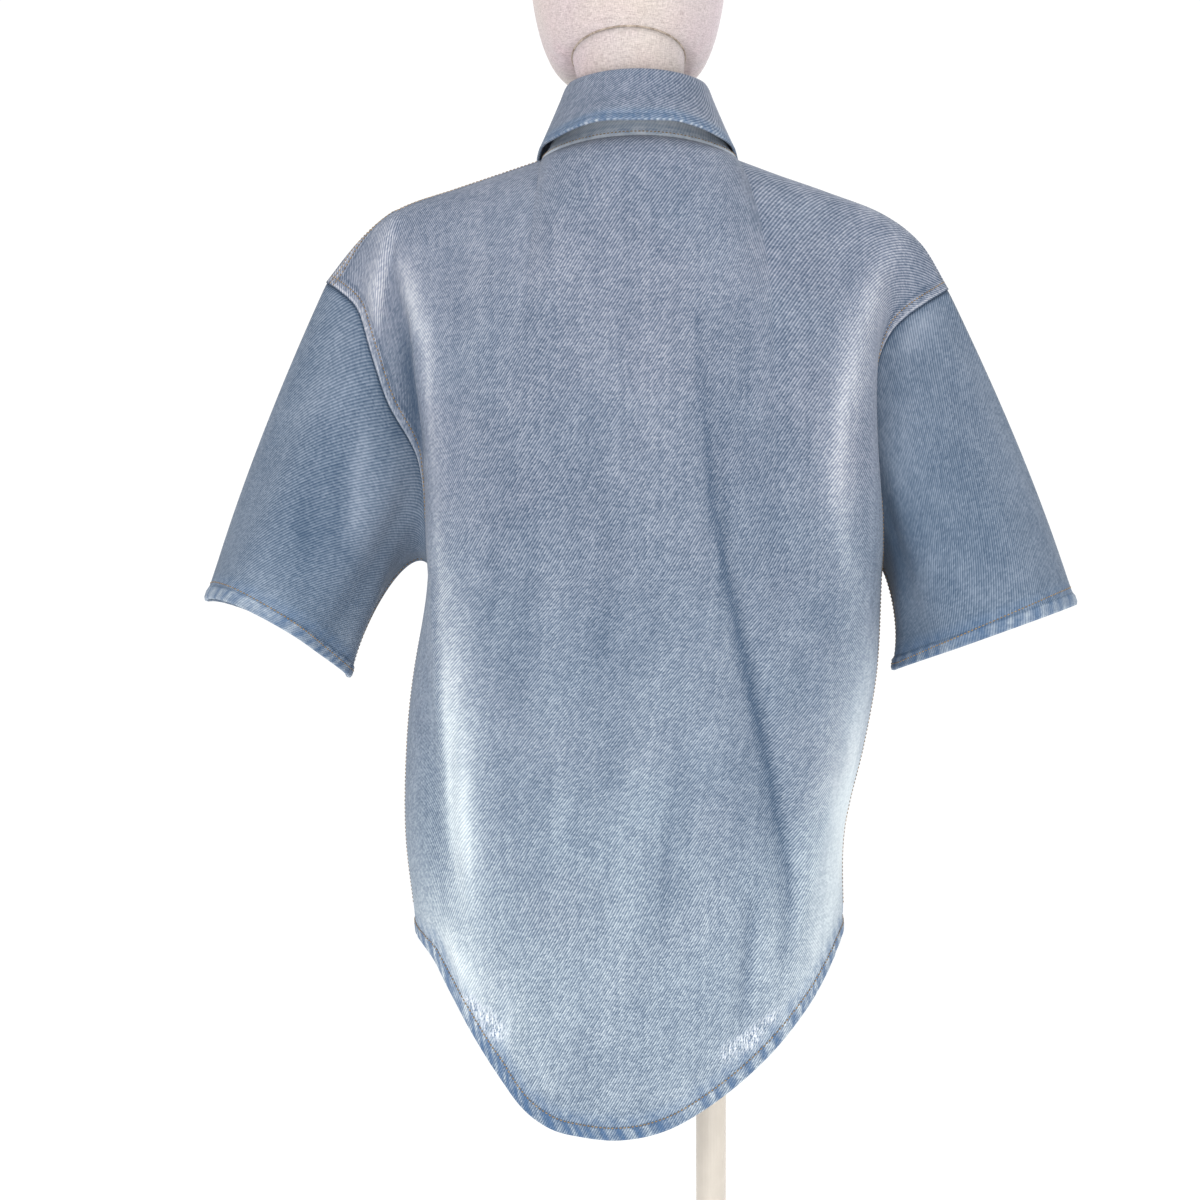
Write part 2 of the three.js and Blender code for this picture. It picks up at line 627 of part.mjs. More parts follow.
// Collar stand: from the neckline up to the fold ring. It is closed at the placket's edge.
const standAngles = [
  ...backNeckAngles.slice().reverse(),
  ...frontNeckAngles.slice(1).map((angle) => 360 - angle).reverse().slice(1),
  360,
];
const standStart = [placketAngle, ...frontNeckAngles.slice(2, -1)];
const standRing = [...standStart, ...standAngles, 360 + placketAngle];
function awayFromNeck(degrees) {
  const radians = THREE.MathUtils.degToRad(degrees);
  return new THREE.Vector3(Math.sin(radians), Math.cos(radians), 0);
}
const standUpwards = standRing.map((angle) => STAND_SHARES.map((share) => {
  const hollow = 4 * share * (1 - share) * STAND_HOLLOW;
  const straight = neckPoint(angle % 360).lerp(ringPoint(FOLD, angle), share);
  return straight.addScaledVector(awayFromNeck(angle), -hollow);
})).reverse();
grids.collar_stand = STAND_SHARES.map((_, r) => standUpwards.map((line) => line[r]));

// Normals that all panels meeting at a node share, so that seams close face to face.
const wraps = { sleeve_left: true, sleeve_right: true };
const key = (p) => `${p.x.toFixed(2)},${p.y.toFixed(2)},${p.z.toFixed(2)}`;
const shared = new Map();
const ownNormals = {};
for (const [name, grid] of Object.entries(grids)) {
  ownNormals[name] = gridNormals(grid, wraps[name]);
  grid.forEach((row, r) => row.forEach((p, c) => {
    const sum = shared.get(key(p)) || new THREE.Vector3();
    shared.set(key(p), sum.add(ownNormals[name][r][c]));
  }));
}
const sharedNormal = (p) => shared.get(key(p)).clone().normalize();

// Closed wall round a grid: outer and inner skin with rims, its edges drawn in by half a seam gap.
function wall(grid, normals, half, options = {}) {
  const rows = grid.length;
  const columns = grid[0].length;
  const wrap = Boolean(options.wrap);
  const draw = (r, c, r2, c2, along) => {
    const n = normals[r][c];
    const pull = grid[r2][c2].clone().sub(grid[r][c]);
    const tangent = along.clone().sub(n.clone().multiplyScalar(along.dot(n))).normalize();
    pull.sub(n.clone().multiplyScalar(pull.dot(n)));
    pull.sub(tangent.multiplyScalar(pull.dot(tangent)));
    return pull.normalize().multiplyScalar((options.gap || SEAM_GAP) / 2);
  };
  const placed = grid.map((row, r) => row.map((p, c) => {
    const point = p.clone();
    const before = wrap ? (c + columns - 1) % columns : Math.max(c - 1, 0);
    const after = wrap ? (c + 1) % columns : Math.min(c + 1, columns - 1);
    const acrossWay = grid[r][after].clone().sub(grid[r][before]);
    const alongWay = grid[Math.min(r + 1, rows - 1)][c].clone().sub(grid[Math.max(r - 1, 0)][c]);
    if (r === 0) point.add(draw(r, c, 1, c, acrossWay));
    if (r === rows - 1) point.add(draw(r, c, rows - 2, c, acrossWay));
    if (!wrap && c === 0) point.add(draw(r, c, r, 1, alongWay));
    if (!wrap && c === columns - 1) point.add(draw(r, c, r, columns - 2, alongWay));
    return point;
  }));
  const points = [];
  const index = (r, c, inner) => 2 * (r * columns + (c % columns)) + inner;
  placed.forEach((row, r) => row.forEach((p, c) => {
    const outer = typeof half === 'function' ? half(r, c) : half;
    points.push(p.clone().addScaledVector(normals[r][c], outer.out));
    points.push(p.clone().addScaledVector(normals[r][c], -outer.in));
  }));
  const triangles = [];
  const quad = (a, b, c, d) => triangles.push(a, b, c, a, c, d);
  const spans = wrap ? columns : columns - 1;
  for (let r = 0; r < rows - 1; r += 1) {
    for (let c = 0; c < spans; c += 1) {
      quad(index(r, c, 0), index(r, c + 1, 0), index(r + 1, c + 1, 0), index(r + 1, c, 0));
      quad(index(r, c, 1), index(r + 1, c, 1), index(r + 1, c + 1, 1), index(r, c + 1, 1));
    }
  }
  for (let c = 0; c < spans; c += 1) {
    quad(index(0, c, 0), index(0, c, 1), index(0, c + 1, 1), index(0, c + 1, 0));
    const r = rows - 1;
    quad(index(r, c, 0), index(r, c + 1, 0), index(r, c + 1, 1), index(r, c, 1));
  }
  if (!wrap) {
    for (let r = 0; r < rows - 1; r += 1) {
      quad(index(r, 0, 0), index(r + 1, 0, 0), index(r + 1, 0, 1), index(r, 0, 1));
      const c = columns - 1;
      quad(index(r, c, 0), index(r, c, 1), index(r + 1, c, 1), index(r + 1, c, 0));
    }
  }
  return fromTriangles(points, triangles);
}

const plainHalf = { out: WALL / 2, in: WALL / 2 };
const hemHalf = { out: HEM_WALL - WALL / 2, in: WALL / 2 };
for (const [name, grid] of Object.entries(grids)) {
  const normals = grid.map((row) => row.map(sharedNormal));
  const half = (r) => {
    if (name.startsWith('sleeve')) return r >= grid.length - 2 ? hemHalf : plainHalf;
    if (name === 'collar_stand') return { out: STAND_WALL / 2, in: STAND_WALL / 2 };
    return r <= 1 ? hemHalf : plainHalf;
  };
  const gap = name === 'sleeve_left' ? CROWDED_GAP : SEAM_GAP;
  addPart(name, wall(grid, normals, half, { wrap: wraps[name], gap }), DENIM);
}

// Placket: a strip over the two fronts' edges, made from their nodes moved out.
const strip = grids.front_right.map((row, r) => {
  const right = row.slice(-2);
  const left = grids.front_left[r][1];
  return [...right, left];
});
const stripNormals = strip.map((row) => row.map(sharedNormal));
const hemExtra = HEM_WALL - WALL;
const stripFoot = (r) => WALL / 2 + LAYER_GAP + (r <= 1 ? hemExtra : 0);
addPart('placket', wall(strip, stripNormals, (r) => ({
  out: stripFoot(r) + PLACKET_WALL,
  in: -stripFoot(r),
})), DENIM);

// Collar leaf: rolls over the stand's top edge and falls outward to its points.
const leafCrest = [
  { out: 0, up: LAYER_GAP + STAND_WALL / 2 },
  { out: 0, up: LEAF_CREST },
  { out: LEAF_ROLL, up: LEAF_CREST + LEAF_ROLL },
  { out: 2 * LEAF_ROLL, up: LEAF_CREST },
];
const leafGrid = evenShares(LEAF_STEPS).map((share) => {
  const angle = THREE.MathUtils.lerp(LEAF_OPEN_ANGLE, 360 - LEAF_OPEN_ANGLE, share);
  const out = awayFromNeck(angle);
  const line = leafCrest.map((step) => {
    const point = ringPoint(FOLD, angle).addScaledVector(out, step.out);
    point.z += step.up;
    return point;
  });
  const from = line[line.length - 1];
  const edgeAt = (name) => column(LEAF_EDGE, 'angle', name, angle);
  const edge = new THREE.Vector3(edgeAt('x'), edgeAt('y'), edgeAt('z'));
  for (const fall of LEAF_FALL) {
    const belly = LEAF_BELLY * Math.sin(Math.PI * fall) * out.y;
    line.push(from.clone().lerp(edge, fall).addScaledVector(out, belly));
  }
  return line;
});
const leafHalf = { out: LEAF_WALL / 2, in: LEAF_WALL / 2 };
addPart('collar_leaf', wall(leafGrid, gridNormals(leafGrid, false), leafHalf), DENIM);

// Buttons: turned discs with a raised rim, on the placket and on the stand.
function buttonGeometry() {
  const { radius, thick, rim, dish, edge, segments } = BUTTON;
  return new THREE.LatheGeometry([
    new THREE.Vector2(0, 0),
    new THREE.Vector2(radius - edge, 0),
    new THREE.Vector2(radius, edge),
    new THREE.Vector2(radius, thick - edge),
    new THREE.Vector2(radius - edge, thick),
    new THREE.Vector2(radius - rim, thick),
    new THREE.Vector2(radius - rim - dish, thick - dish),
    new THREE.Vector2(0, thick - dish),
  ], segments);
}

function addButton(number, point, normal, lift) {
  const turn = new THREE.Quaternion().setFromUnitVectors(new THREE.Vector3(0, 1, 0), normal);
  const origin = point.clone().addScaledVector(normal, lift);
  const place = new THREE.Matrix4().compose(origin, turn, new THREE.Vector3(1, 1, 1));
  addPart(`button_${number}`, buttonGeometry(), SHELL, place);
}

const standFront = grids.collar_stand.map((row) => row[1]);
const standPoint = standFront[1].clone().lerp(standFront[2], 0.3);
addButton(1, standPoint, ownNormals.collar_stand[1][1], STAND_WALL / 2 + STAND_BUTTON_LIFT);
const centreLine = strip.map((row) => row[1]);
PLACKET_BUTTON_LEVELS.forEach((level, i) => {
  let r = 0;
  while (centreLine[r + 1].z < level) r += 1;
  const t = (level - centreLine[r].z) / (centreLine[r + 1].z - centreLine[r].z);
  const point = centreLine[r].clone().lerp(centreLine[r + 1], t);
  const tangent = centreLine[r + 1].clone().sub(centreLine[r]);
  const normal = new THREE.Vector3(1, 0, 0).cross(tangent).negate().normalize();
  addButton(i + 2, point, normal.y > 0 ? normal : normal.negate(), stripFoot(r) + PLACKET_WALL + LAYER_GAP);
});

// Closed body through a stack of rings, capped at both ends.
function stack(rings) {
  const count = rings[0].length;
  const points = rings.flat();
  const triangles = [];
  for (let r = 0; r < rings.length - 1; r += 1) {
    for (let c = 0; c < count; c += 1) {
      const d = (c + 1) % count;
      const a = r * count;
      const b = (r + 1) * count;
      triangles.push(a + c, a + d, b + d, a + c, b + d, b + c);
    }
  }
  const cap = (start, flip) => {
    const centre = points.length;
    const ring = rings[start];
    points.push(ring.reduce((sum, p) => sum.add(p), new THREE.Vector3()).divideScalar(count));
    for (let c = 0; c < count; c += 1) {
      const a = start * count + c;
      const b = start * count + ((c + 1) % count);
      triangles.push(centre, flip ? b : a, flip ? a : b);
    }
  };
  cap(0, true);
  cap(rings.length - 1, false);
  return fromTriangles(points, triangles);
}

function roundedRing(halfWidth, halfDepth, place) {
  return Array.from({ length: FORM_SEGMENTS }, (_, i) => {
    const angle = (i / FORM_SEGMENTS) * 2 * Math.PI;
    const bend = (value) => Math.sign(value) * Math.abs(value) ** (2 / FORM_POWER);
    return place(halfWidth * bend(Math.cos(angle)), halfDepth * bend(Math.sin(angle)));
  });
}

// Torso and neck, ending in the tilted joint under the head.
const tilt = THREE.MathUtils.degToRad(NECK_JOINT.tilt);
const jointPlace = (forward, rise) => (across, deep) => new THREE.Vector3(
  NECK_JOINT.x + across,
  NECK_JOINT.y + (deep + forward) * Math.cos(tilt) + rise * Math.sin(tilt),
  NECK_JOINT.z - (deep + forward) * Math.sin(tilt) + rise * Math.cos(tilt),
);
const formRings = FORM.map((s) => {
  const level = (x, y) => new THREE.Vector3(s.x + x, s.y + y, s.z);
  return roundedRing(s.halfWidth, s.halfDepth, level);
});
formRings.push(roundedRing(NECK_JOINT.halfWidth, NECK_JOINT.halfDepth, jointPlace(0, 0)));
addPart('form_body', stack(formRings), LINEN);
const headRings = HEAD.map((s) => {
  const level = jointPlace(s.forward, s.rise);
  return roundedRing(s.halfWidth, s.halfDepth, level);
});
addPart('form_head', stack(headRings), LINEN);

// Turned pieces of the stand, each from its profile.
const upright = new THREE.Matrix4().makeRotationX(Math.PI / 2);
function turned(name, profile, finish, place, segments) {
  const geometry = new THREE.LatheGeometry(profile.map(([r, z]) => new THREE.Vector2(r, z)), segments);
  geometry.applyMatrix4(upright);
  addPart(name, geometry, finish, new THREE.Matrix4().makeTranslation(place[0], place[1], place[2]));
}
const socketTop = FORM[0].z - LAYER_GAP;
const poleFoot = BASE.height + LAYER_GAP;
const poleLength = socketTop - SOCKET.height - LAYER_GAP - poleFoot;
const hubBore = POLE.radius + LAYER_GAP;
turned('form_socket', [
  [0, -SOCKET.height],
  [SOCKET.radius, -SOCKET.height],
  [SOCKET.radius, -SOCKET.lipHeight],
  [SOCKET.lip, -SOCKET.lipHeight],
  [SOCKET.lip, 0],
  [0, 0],
], CREAM, [POLE.x, POLE.y, socketTop], TURNED_SEGMENTS);
turned('pole', [
  [0, 0],
  [POLE.radius, 0],
  [POLE.radius, poleLength],
  [0, poleLength],
], CREAM, [POLE.x, POLE.y, poleFoot], TURNED_SEGMENTS);
turned('base_hub', [
  [hubBore, 0],
  [HUB.radius, 0],
  [HUB.radius, HUB.collar],
  [HUB.topRadius, HUB.height],
  [hubBore, HUB.height],
  [hubBore, 0],
], CREAM, [POLE.x, POLE.y, poleFoot], TURNED_SEGMENTS);
turned('base_plate', [
  [0, 0],
  [BASE.radius, 0],
  [BASE.radius, BASE.height - BASE.edge],
  [BASE.radius - BASE.edge, BASE.height],
  [0, BASE.height],
], CREAM, [0, 0, 0], BASE.segments);

export default object;
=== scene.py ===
import math
import random

import bpy
import numpy as np
from mathutils import Matrix, Vector


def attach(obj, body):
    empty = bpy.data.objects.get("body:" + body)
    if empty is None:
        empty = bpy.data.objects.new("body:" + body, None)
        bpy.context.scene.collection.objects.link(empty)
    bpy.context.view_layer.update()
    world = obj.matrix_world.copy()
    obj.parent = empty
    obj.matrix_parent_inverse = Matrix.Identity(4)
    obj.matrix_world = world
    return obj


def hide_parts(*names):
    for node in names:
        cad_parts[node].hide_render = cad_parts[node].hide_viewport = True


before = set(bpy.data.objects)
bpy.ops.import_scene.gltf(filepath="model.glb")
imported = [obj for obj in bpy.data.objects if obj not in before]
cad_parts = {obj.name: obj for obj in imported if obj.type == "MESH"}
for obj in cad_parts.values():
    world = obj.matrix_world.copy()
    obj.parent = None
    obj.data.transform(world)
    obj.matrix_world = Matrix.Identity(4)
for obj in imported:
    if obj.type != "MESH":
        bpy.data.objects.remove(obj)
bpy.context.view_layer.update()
bpy.ops.object.select_all(action="DESELECT")


# ---------------------------------------------------------------- base
# Round steel base plate with its turned hub, and the pole with its socket under the torso.
# All four are steel turned or cut to size and dipped in one satin cream lacquer.
# The plate's rim is dull from handling and the pole rubbed along its length; here the lacquer's tone and roughness vary
# in soft patches all over.

def new_material(name):
    material = bpy.data.materials.new(name)
    material.use_nodes = True
    nodes = material.node_tree.nodes
    links = material.node_tree.links
    return material, nodes, links, nodes["Principled BSDF"]


def add_node(nodes, kind, **values):
    node = nodes.new(kind)
    for key, value in values.items():
        if key in node.inputs:
            node.inputs[key].default_value = value
        else:
            setattr(node, key, value)
    return node


cream_lacquer, nodes, links, shader = new_material("cream_lacquer")
place = add_node(nodes, "ShaderNodeTexCoord")
mottle = add_node(nodes, "ShaderNodeTexNoise", Scale=34.0, Detail=5.0, Roughness=0.6)
links.new(place.outputs["Object"], mottle.inputs["Vector"])
tone = add_node(nodes, "ShaderNodeValToRGB")
tone.color_ramp.elements[0].position = 0.3
tone.color_ramp.elements[0].color = (0.54, 0.488, 0.422, 1)
tone.color_ramp.elements[1].position = 0.7
tone.color_ramp.elements[1].color = (0.60, 0.543, 0.47, 1)
links.new(mottle.outputs["Fac"], tone.inputs["Fac"])
links.new(tone.outputs["Color"], shader.inputs["Base Color"])
rub = add_node(nodes, "ShaderNodeMapRange")
rub.inputs["To Min"].default_value = 0.28
rub.inputs["To Max"].default_value = 0.46
links.new(mottle.outputs["Fac"], rub.inputs["Value"])
links.new(rub.outputs["Result"], shader.inputs["Roughness"])
orange_peel = add_node(nodes, "ShaderNodeTexNoise", Scale=900.0, Detail=2.0)
links.new(place.outputs["Object"], orange_peel.inputs["Vector"])
peel = add_node(nodes, "ShaderNodeBump", Strength=0.06, Distance=0.0004)
links.new(orange_peel.outputs["Fac"], peel.inputs["Height"])
links.new(peel.outputs["Normal"], shader.inputs["Normal"])
shader.inputs["Metallic"].default_value = 0.15
shader.inputs["Coat Weight"].default_value = 0.25

for name in ("base_plate", "base_hub", "pole", "form_socket"):
    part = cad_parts[name]
    part.data.materials.clear()
    part.data.materials.append(cream_lacquer)


# ---------------------------------------------------------------- dress form
# Smooth limbless torso with a neck, and a plain faceless head on a tilted joint.
# Hollow moulded shells under a tight cover of fine off-white linen, glued down at the joint.
# The cover is drawn into small pinches where the neck meets the head.

linen, nodes, links, shader = new_material("form_linen")
place = add_node(nodes, "ShaderNodeTexCoord")
warp = add_node(nodes, "ShaderNodeMapping")
warp.inputs["Scale"].default_value = (1500, 1500, 260)
weft = add_node(nodes, "ShaderNodeMapping")
weft.inputs["Scale"].default_value = (260, 260, 1500)
threads = []
for mapping in (warp, weft):
    links.new(place.outputs["Object"], mapping.inputs["Vector"])
    thread = add_node(nodes, "ShaderNodeTexNoise", Scale=1.0, Detail=1.5, Roughness=0.5)
    links.new(mapping.outputs["Vector"], thread.inputs["Vector"])
    threads.append(thread)
weave = add_node(nodes, "ShaderNodeMath", operation="ADD")
links.new(threads[0].outputs["Fac"], weave.inputs[0])
links.new(threads[1].outputs["Fac"], weave.inputs[1])
even = add_node(nodes, "ShaderNodeMath", operation="MULTIPLY")
links.new(weave.outputs["Value"], even.inputs[0])
even.inputs[1].default_value = 0.5
cloudy = add_node(nodes, "ShaderNodeTexNoise", Scale=9.0, Detail=4.0)
links.new(place.outputs["Object"], cloudy.inputs["Vector"])
linen_tone = add_node(nodes, "ShaderNodeValToRGB")
linen_tone.color_ramp.elements[0].position = 0.34
linen_tone.color_ramp.elements[0].color = (0.42, 0.345, 0.335, 1)
linen_tone.color_ramp.elements[1].position = 0.64
linen_tone.color_ramp.elements[1].color = (0.70, 0.60, 0.585, 1)
links.new(even.outputs["Value"], linen_tone.inputs["Fac"])
cloud_mix = add_node(nodes, "ShaderNodeMix", data_type="RGBA", blend_type="MULTIPLY")
height = add_node(nodes, "ShaderNodeSeparateXYZ")
links.new(place.outputs["Object"], height.inputs[0])
neck_painted_shade = add_node(nodes, "ShaderNodeMapRange")      # painted shade: the cover is darker below the head, down the neck
for socket, value in (("From Min", 1.515), ("From Max", 1.55), ("To Min", 0.36), ("To Max", 0.23)):
    neck_painted_shade.inputs[socket].default_value = value
links.new(height.outputs["Z"], neck_painted_shade.inputs["Value"])
links.new(neck_painted_shade.outputs["Result"], cloud_mix.inputs["Factor"])
links.new(linen_tone.outputs["Color"], cloud_mix.inputs["A"])
links.new(cloudy.outputs["Color"], cloud_mix.inputs["B"])
links.new(cloud_mix.outputs["Result"], shader.inputs["Base Color"])
weave_bump = add_node(nodes, "ShaderNodeBump", Strength=0.35, Distance=0.0003)
links.new(weave.outputs["Value"], weave_bump.inputs["Height"])
links.new(weave_bump.outputs["Normal"], shader.inputs["Normal"])
shader.inputs["Roughness"].default_value = 0.86
shader.inputs["Sheen Weight"].default_value = 0.25

TORSO = [  # z, x, y, half width, half depth: in millimetres
    (778, -4, 0, 132, 90), (790, -4, 0, 142, 98), (840, -3, 0, 150, 102), (910, 0, 0, 146, 97),
    (1000, 4, 0, 126, 84), (1080, 5, 2, 132, 90), (1180, 5, 4, 148, 102), (1250, 5, 4, 154, 100),
    (1310, 5, 2, 164, 88), (1350, 5, 2, 182, 72), (1376, 5, 2, 192, 56), (1396, 5, 3, 192, 42),
    (1405.3, 4.6, 4, 184, 38), (1414.2, 4, 5, 164, 38), (1424.2, 3.6, 5, 136, 40),
    (1435.4, 3.2, 5, 104, 41), (1444, 1.5, -1, 74, 38), (1458, -1, -1, 55, 41),
    (1480, -3.5, 0, 44.5, 43), (1516, -4, 0, 43.2, 42),
]
HEAD = [  # rise along the neck's tilted axis, forward, half width, half depth
    (0.35, 0, 46.5, 49), (3, 10, 57, 62), (14, 16, 66, 77), (40, 16, 75, 90), (75, 12, 81, 98),
    (110, 6, 80, 97), (142, 2, 70, 84), (166, 0, 52, 62), (180, -1, 30, 36), (185, -1, 12, 14),
]
NECK_JOINT = (-6, 0, 1538)
NECK_TILT = math.radians(23.5)
FORM_SEGMENTS = 192
PINCHES = ((-0.15, 2.6, 0.9), (0.05, 3.4, 1.0), (0.28, 2.8, 0.8), (0.55, 2.2, 0.5))   # turn, width, depth


def mesh_piece(name, points, faces, material, smooth=True):
    data = bpy.data.meshes.new(name)
    data.from_pydata([tuple(p) for p in points], [], [tuple(f) for f in faces])
    data.update()
    piece = bpy.data.objects.new(name, data)
    bpy.context.collection.objects.link(piece)
    data.materials.append(material)
    if smooth:
        data.polygons.foreach_set("use_smooth", [True] * len(data.polygons))
    return piece


def smooth_rows(rows, steps):
    """Rows of a table with smooth rows added between them, through every given row."""
    rows = np.array(rows, float)
    out = []
    for i in range(len(rows) - 1):
        before = rows[max(i - 1, 0)]
        after = rows[min(i + 2, len(rows) - 1)]
        a, b = rows[i], rows[i + 1]
        for k in range(steps):
            t = k / steps
            out.append(a + 0.5 * t * (b - before + t * (2 * before - 5 * a + 4 * b - after
                                                       + t * (3 * (a - b) + after - before))))
    out.append(rows[-1])
    return out


def ring_stack(name, rings, material):
    count = len(rings[0])
    points = [p for ring in rings for p in ring]
    faces = []
    for r in range(len(rings) - 1):
        for c in range(count):
            d = (c + 1) % count
            faces.append((r * count + c, r * count + d, (r + 1) * count + d, (r + 1) * count + c))
    faces.append(tuple(range(count))[::-1])
    faces.append(tuple((len(rings) - 1) * count + c for c in range(count)))
    return mesh_piece(name, points, faces, material)


def joint_ring(forward, rise, half_width, half_depth):
    x, y, z = NECK_JOINT
    ring = []
    for i in range(FORM_SEGMENTS):
        angle = 2 * math.pi * i / FORM_SEGMENTS
        across, deep = half_width * math.cos(angle), half_depth * math.sin(angle)
        ring.append(((x + across) / 1000,
                     (y + (deep + forward) * math.cos(NECK_TILT) + rise * math.sin(NECK_TILT)) / 1000,
                     (z - (deep + forward) * math.sin(NECK_TILT) + rise * math.cos(NECK_TILT)) / 1000))
    return ring


def level_ring(z, x, y, half_width, half_depth):
    angles = [2 * math.pi * i / FORM_SEGMENTS for i in range(FORM_SEGMENTS)]
    return [((x + half_width * math.cos(a)) / 1000, (y + half_depth * math.sin(a)) / 1000, z / 1000)
            for a in angles]


torso_rings = [level_ring(*row) for row in smooth_rows(TORSO, 4)]
top = np.array(torso_rings[-1])
joint = np.array(joint_ring(0, 0, 46.5, 49))
for t in (0.2, 0.4, 0.6, 0.8, 1.0):
    torso_rings.append([tuple(p) for p in top + (joint - top) * t])
torso = ring_stack("torso", torso_rings, linen)


def pinched(ring, rise):
    """The head's cover drawn into small creases that fan out from both ends of the neck joint."""
    points = np.array(ring)
    centre = points.mean(axis=0)
    angle = np.linspace(0, 2 * math.pi, FORM_SEGMENTS, endpoint=False)
    out = points - centre
    out /= np.linalg.norm(out, axis=1, keepdims=True)
    depth = np.zeros(FORM_SEGMENTS)
    for turn, width, deep in PINCHES:
        for side in (0, math.pi):
            centre_turn = side - (turn if side == 0 else -turn) * (1 + rise / 40)
            off = (angle - centre_turn + math.pi) % (2 * math.pi) - math.pi
            depth += deep * np.exp(-(off * 50 / width) ** 2)
    return points - out * (depth * 1.8 * math.exp(-((rise - 7) / 9) ** 2))[:, None] / 1000


head = ring_stack("head", [pinched(joint_ring(f, r, w, d), r) for r, f, w, d in smooth_rows(HEAD, 8)], linen)
for piece, node in ((torso, "form_body"), (head, "form_head")):
    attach(piece, "root")
    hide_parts(node)

# The cover's two halves meet at the joint over a thin twisted cord.
CORD_RADIUS, CORD_SIDES = 0.85, 8
cord_tone, nodes, links, shader = new_material("joint_cord")
place = add_node(nodes, "ShaderNodeTexCoord")
fibres = add_node(nodes, "ShaderNodeTexNoise", Scale=300.0, Detail=3.0, Roughness=0.6)
links.new(place.outputs["Object"], fibres.inputs["Vector"])
cord_ramp = add_node(nodes, "ShaderNodeValToRGB")
cord_ramp.color_ramp.elements[0].position = 0.35
cord_ramp.color_ramp.elements[0].color = (0.20, 0.155, 0.12, 1)
cord_ramp.color_ramp.elements[1].position = 0.7
cord_ramp.color_ramp.elements[1].color = (0.50, 0.42, 0.35, 1)
links.new(fibres.outputs["Fac"], cord_ramp.inputs["Fac"])
links.new(cord_ramp.outputs["Color"], shader.inputs["Base Color"])
shader.inputs["Roughness"].default_value = 0.85
cord_rings = []
for side in range(CORD_SIDES):
    turn = 2 * math.pi * side / CORD_SIDES
    cord_rings.append(joint_ring(0, 0.2 + CORD_RADIUS * math.sin(turn), 46.6 + CORD_RADIUS * math.cos(turn),
                                 49.1 + CORD_RADIUS * math.cos(turn)))
points = [p for ring in cord_rings for p in ring]
faces = []
for side in range(CORD_SIDES):
    after = (side + 1) % CORD_SIDES
    for c in range(FORM_SEGMENTS):
        d = (c + 1) % FORM_SEGMENTS
        faces.append((side * FORM_SEGMENTS + c, side * FORM_SEGMENTS + d, after * FORM_SEGMENTS + d,
                      after * FORM_SEGMENTS + c))
neck_cord = mesh_piece("neck_cord", points, faces, cord_tone)
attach(neck_cord, "root")


# ---------------------------------------------------------------- denim
# Washed blue denim, a right-hand twill of indigo warp over white weft, garment-dyed and enzyme-washed.
# Its seams, hems and high folds have rubbed pale, and the hems have roped into light and dark slants.
# Some of its shading is painted into the colour: shade in fold troughs, seam gaps and stitch grooves, and light along
# edges that turn away.

def shade_of(red, green, blue, light=1.0):
    """A colour as the eye reads it, 0 to 255, turned into the shader's linear values."""
    values = []
    for part in (red, green, blue):
        part /= 255
        values.append((part / 12.92 if part < 0.04045 else ((part + 0.055) / 1.055) ** 2.4) / light)
    return (*values, 1)


TWILL_ACROSS, TWILL_ALONG = 0.0024, 0.0037      # one rib of the twill, across and up the cloth
FLOAT_LENGTH = 0.0016                            # one warp float along its rib
STUDIO_LIGHT = 1.20                              # how bright the studio makes a white card
DENIM_SHADES = ((0.0, (60, 82, 108)), (0.25, (102, 120, 142)), (0.5, (143, 157, 176)), (0.75, (186, 200, 212)),
                (1.0, (230, 239, 245)))
HEM_BLUE = (82, 114, 154)
FRAY_WHITE = (236, 242, 250)


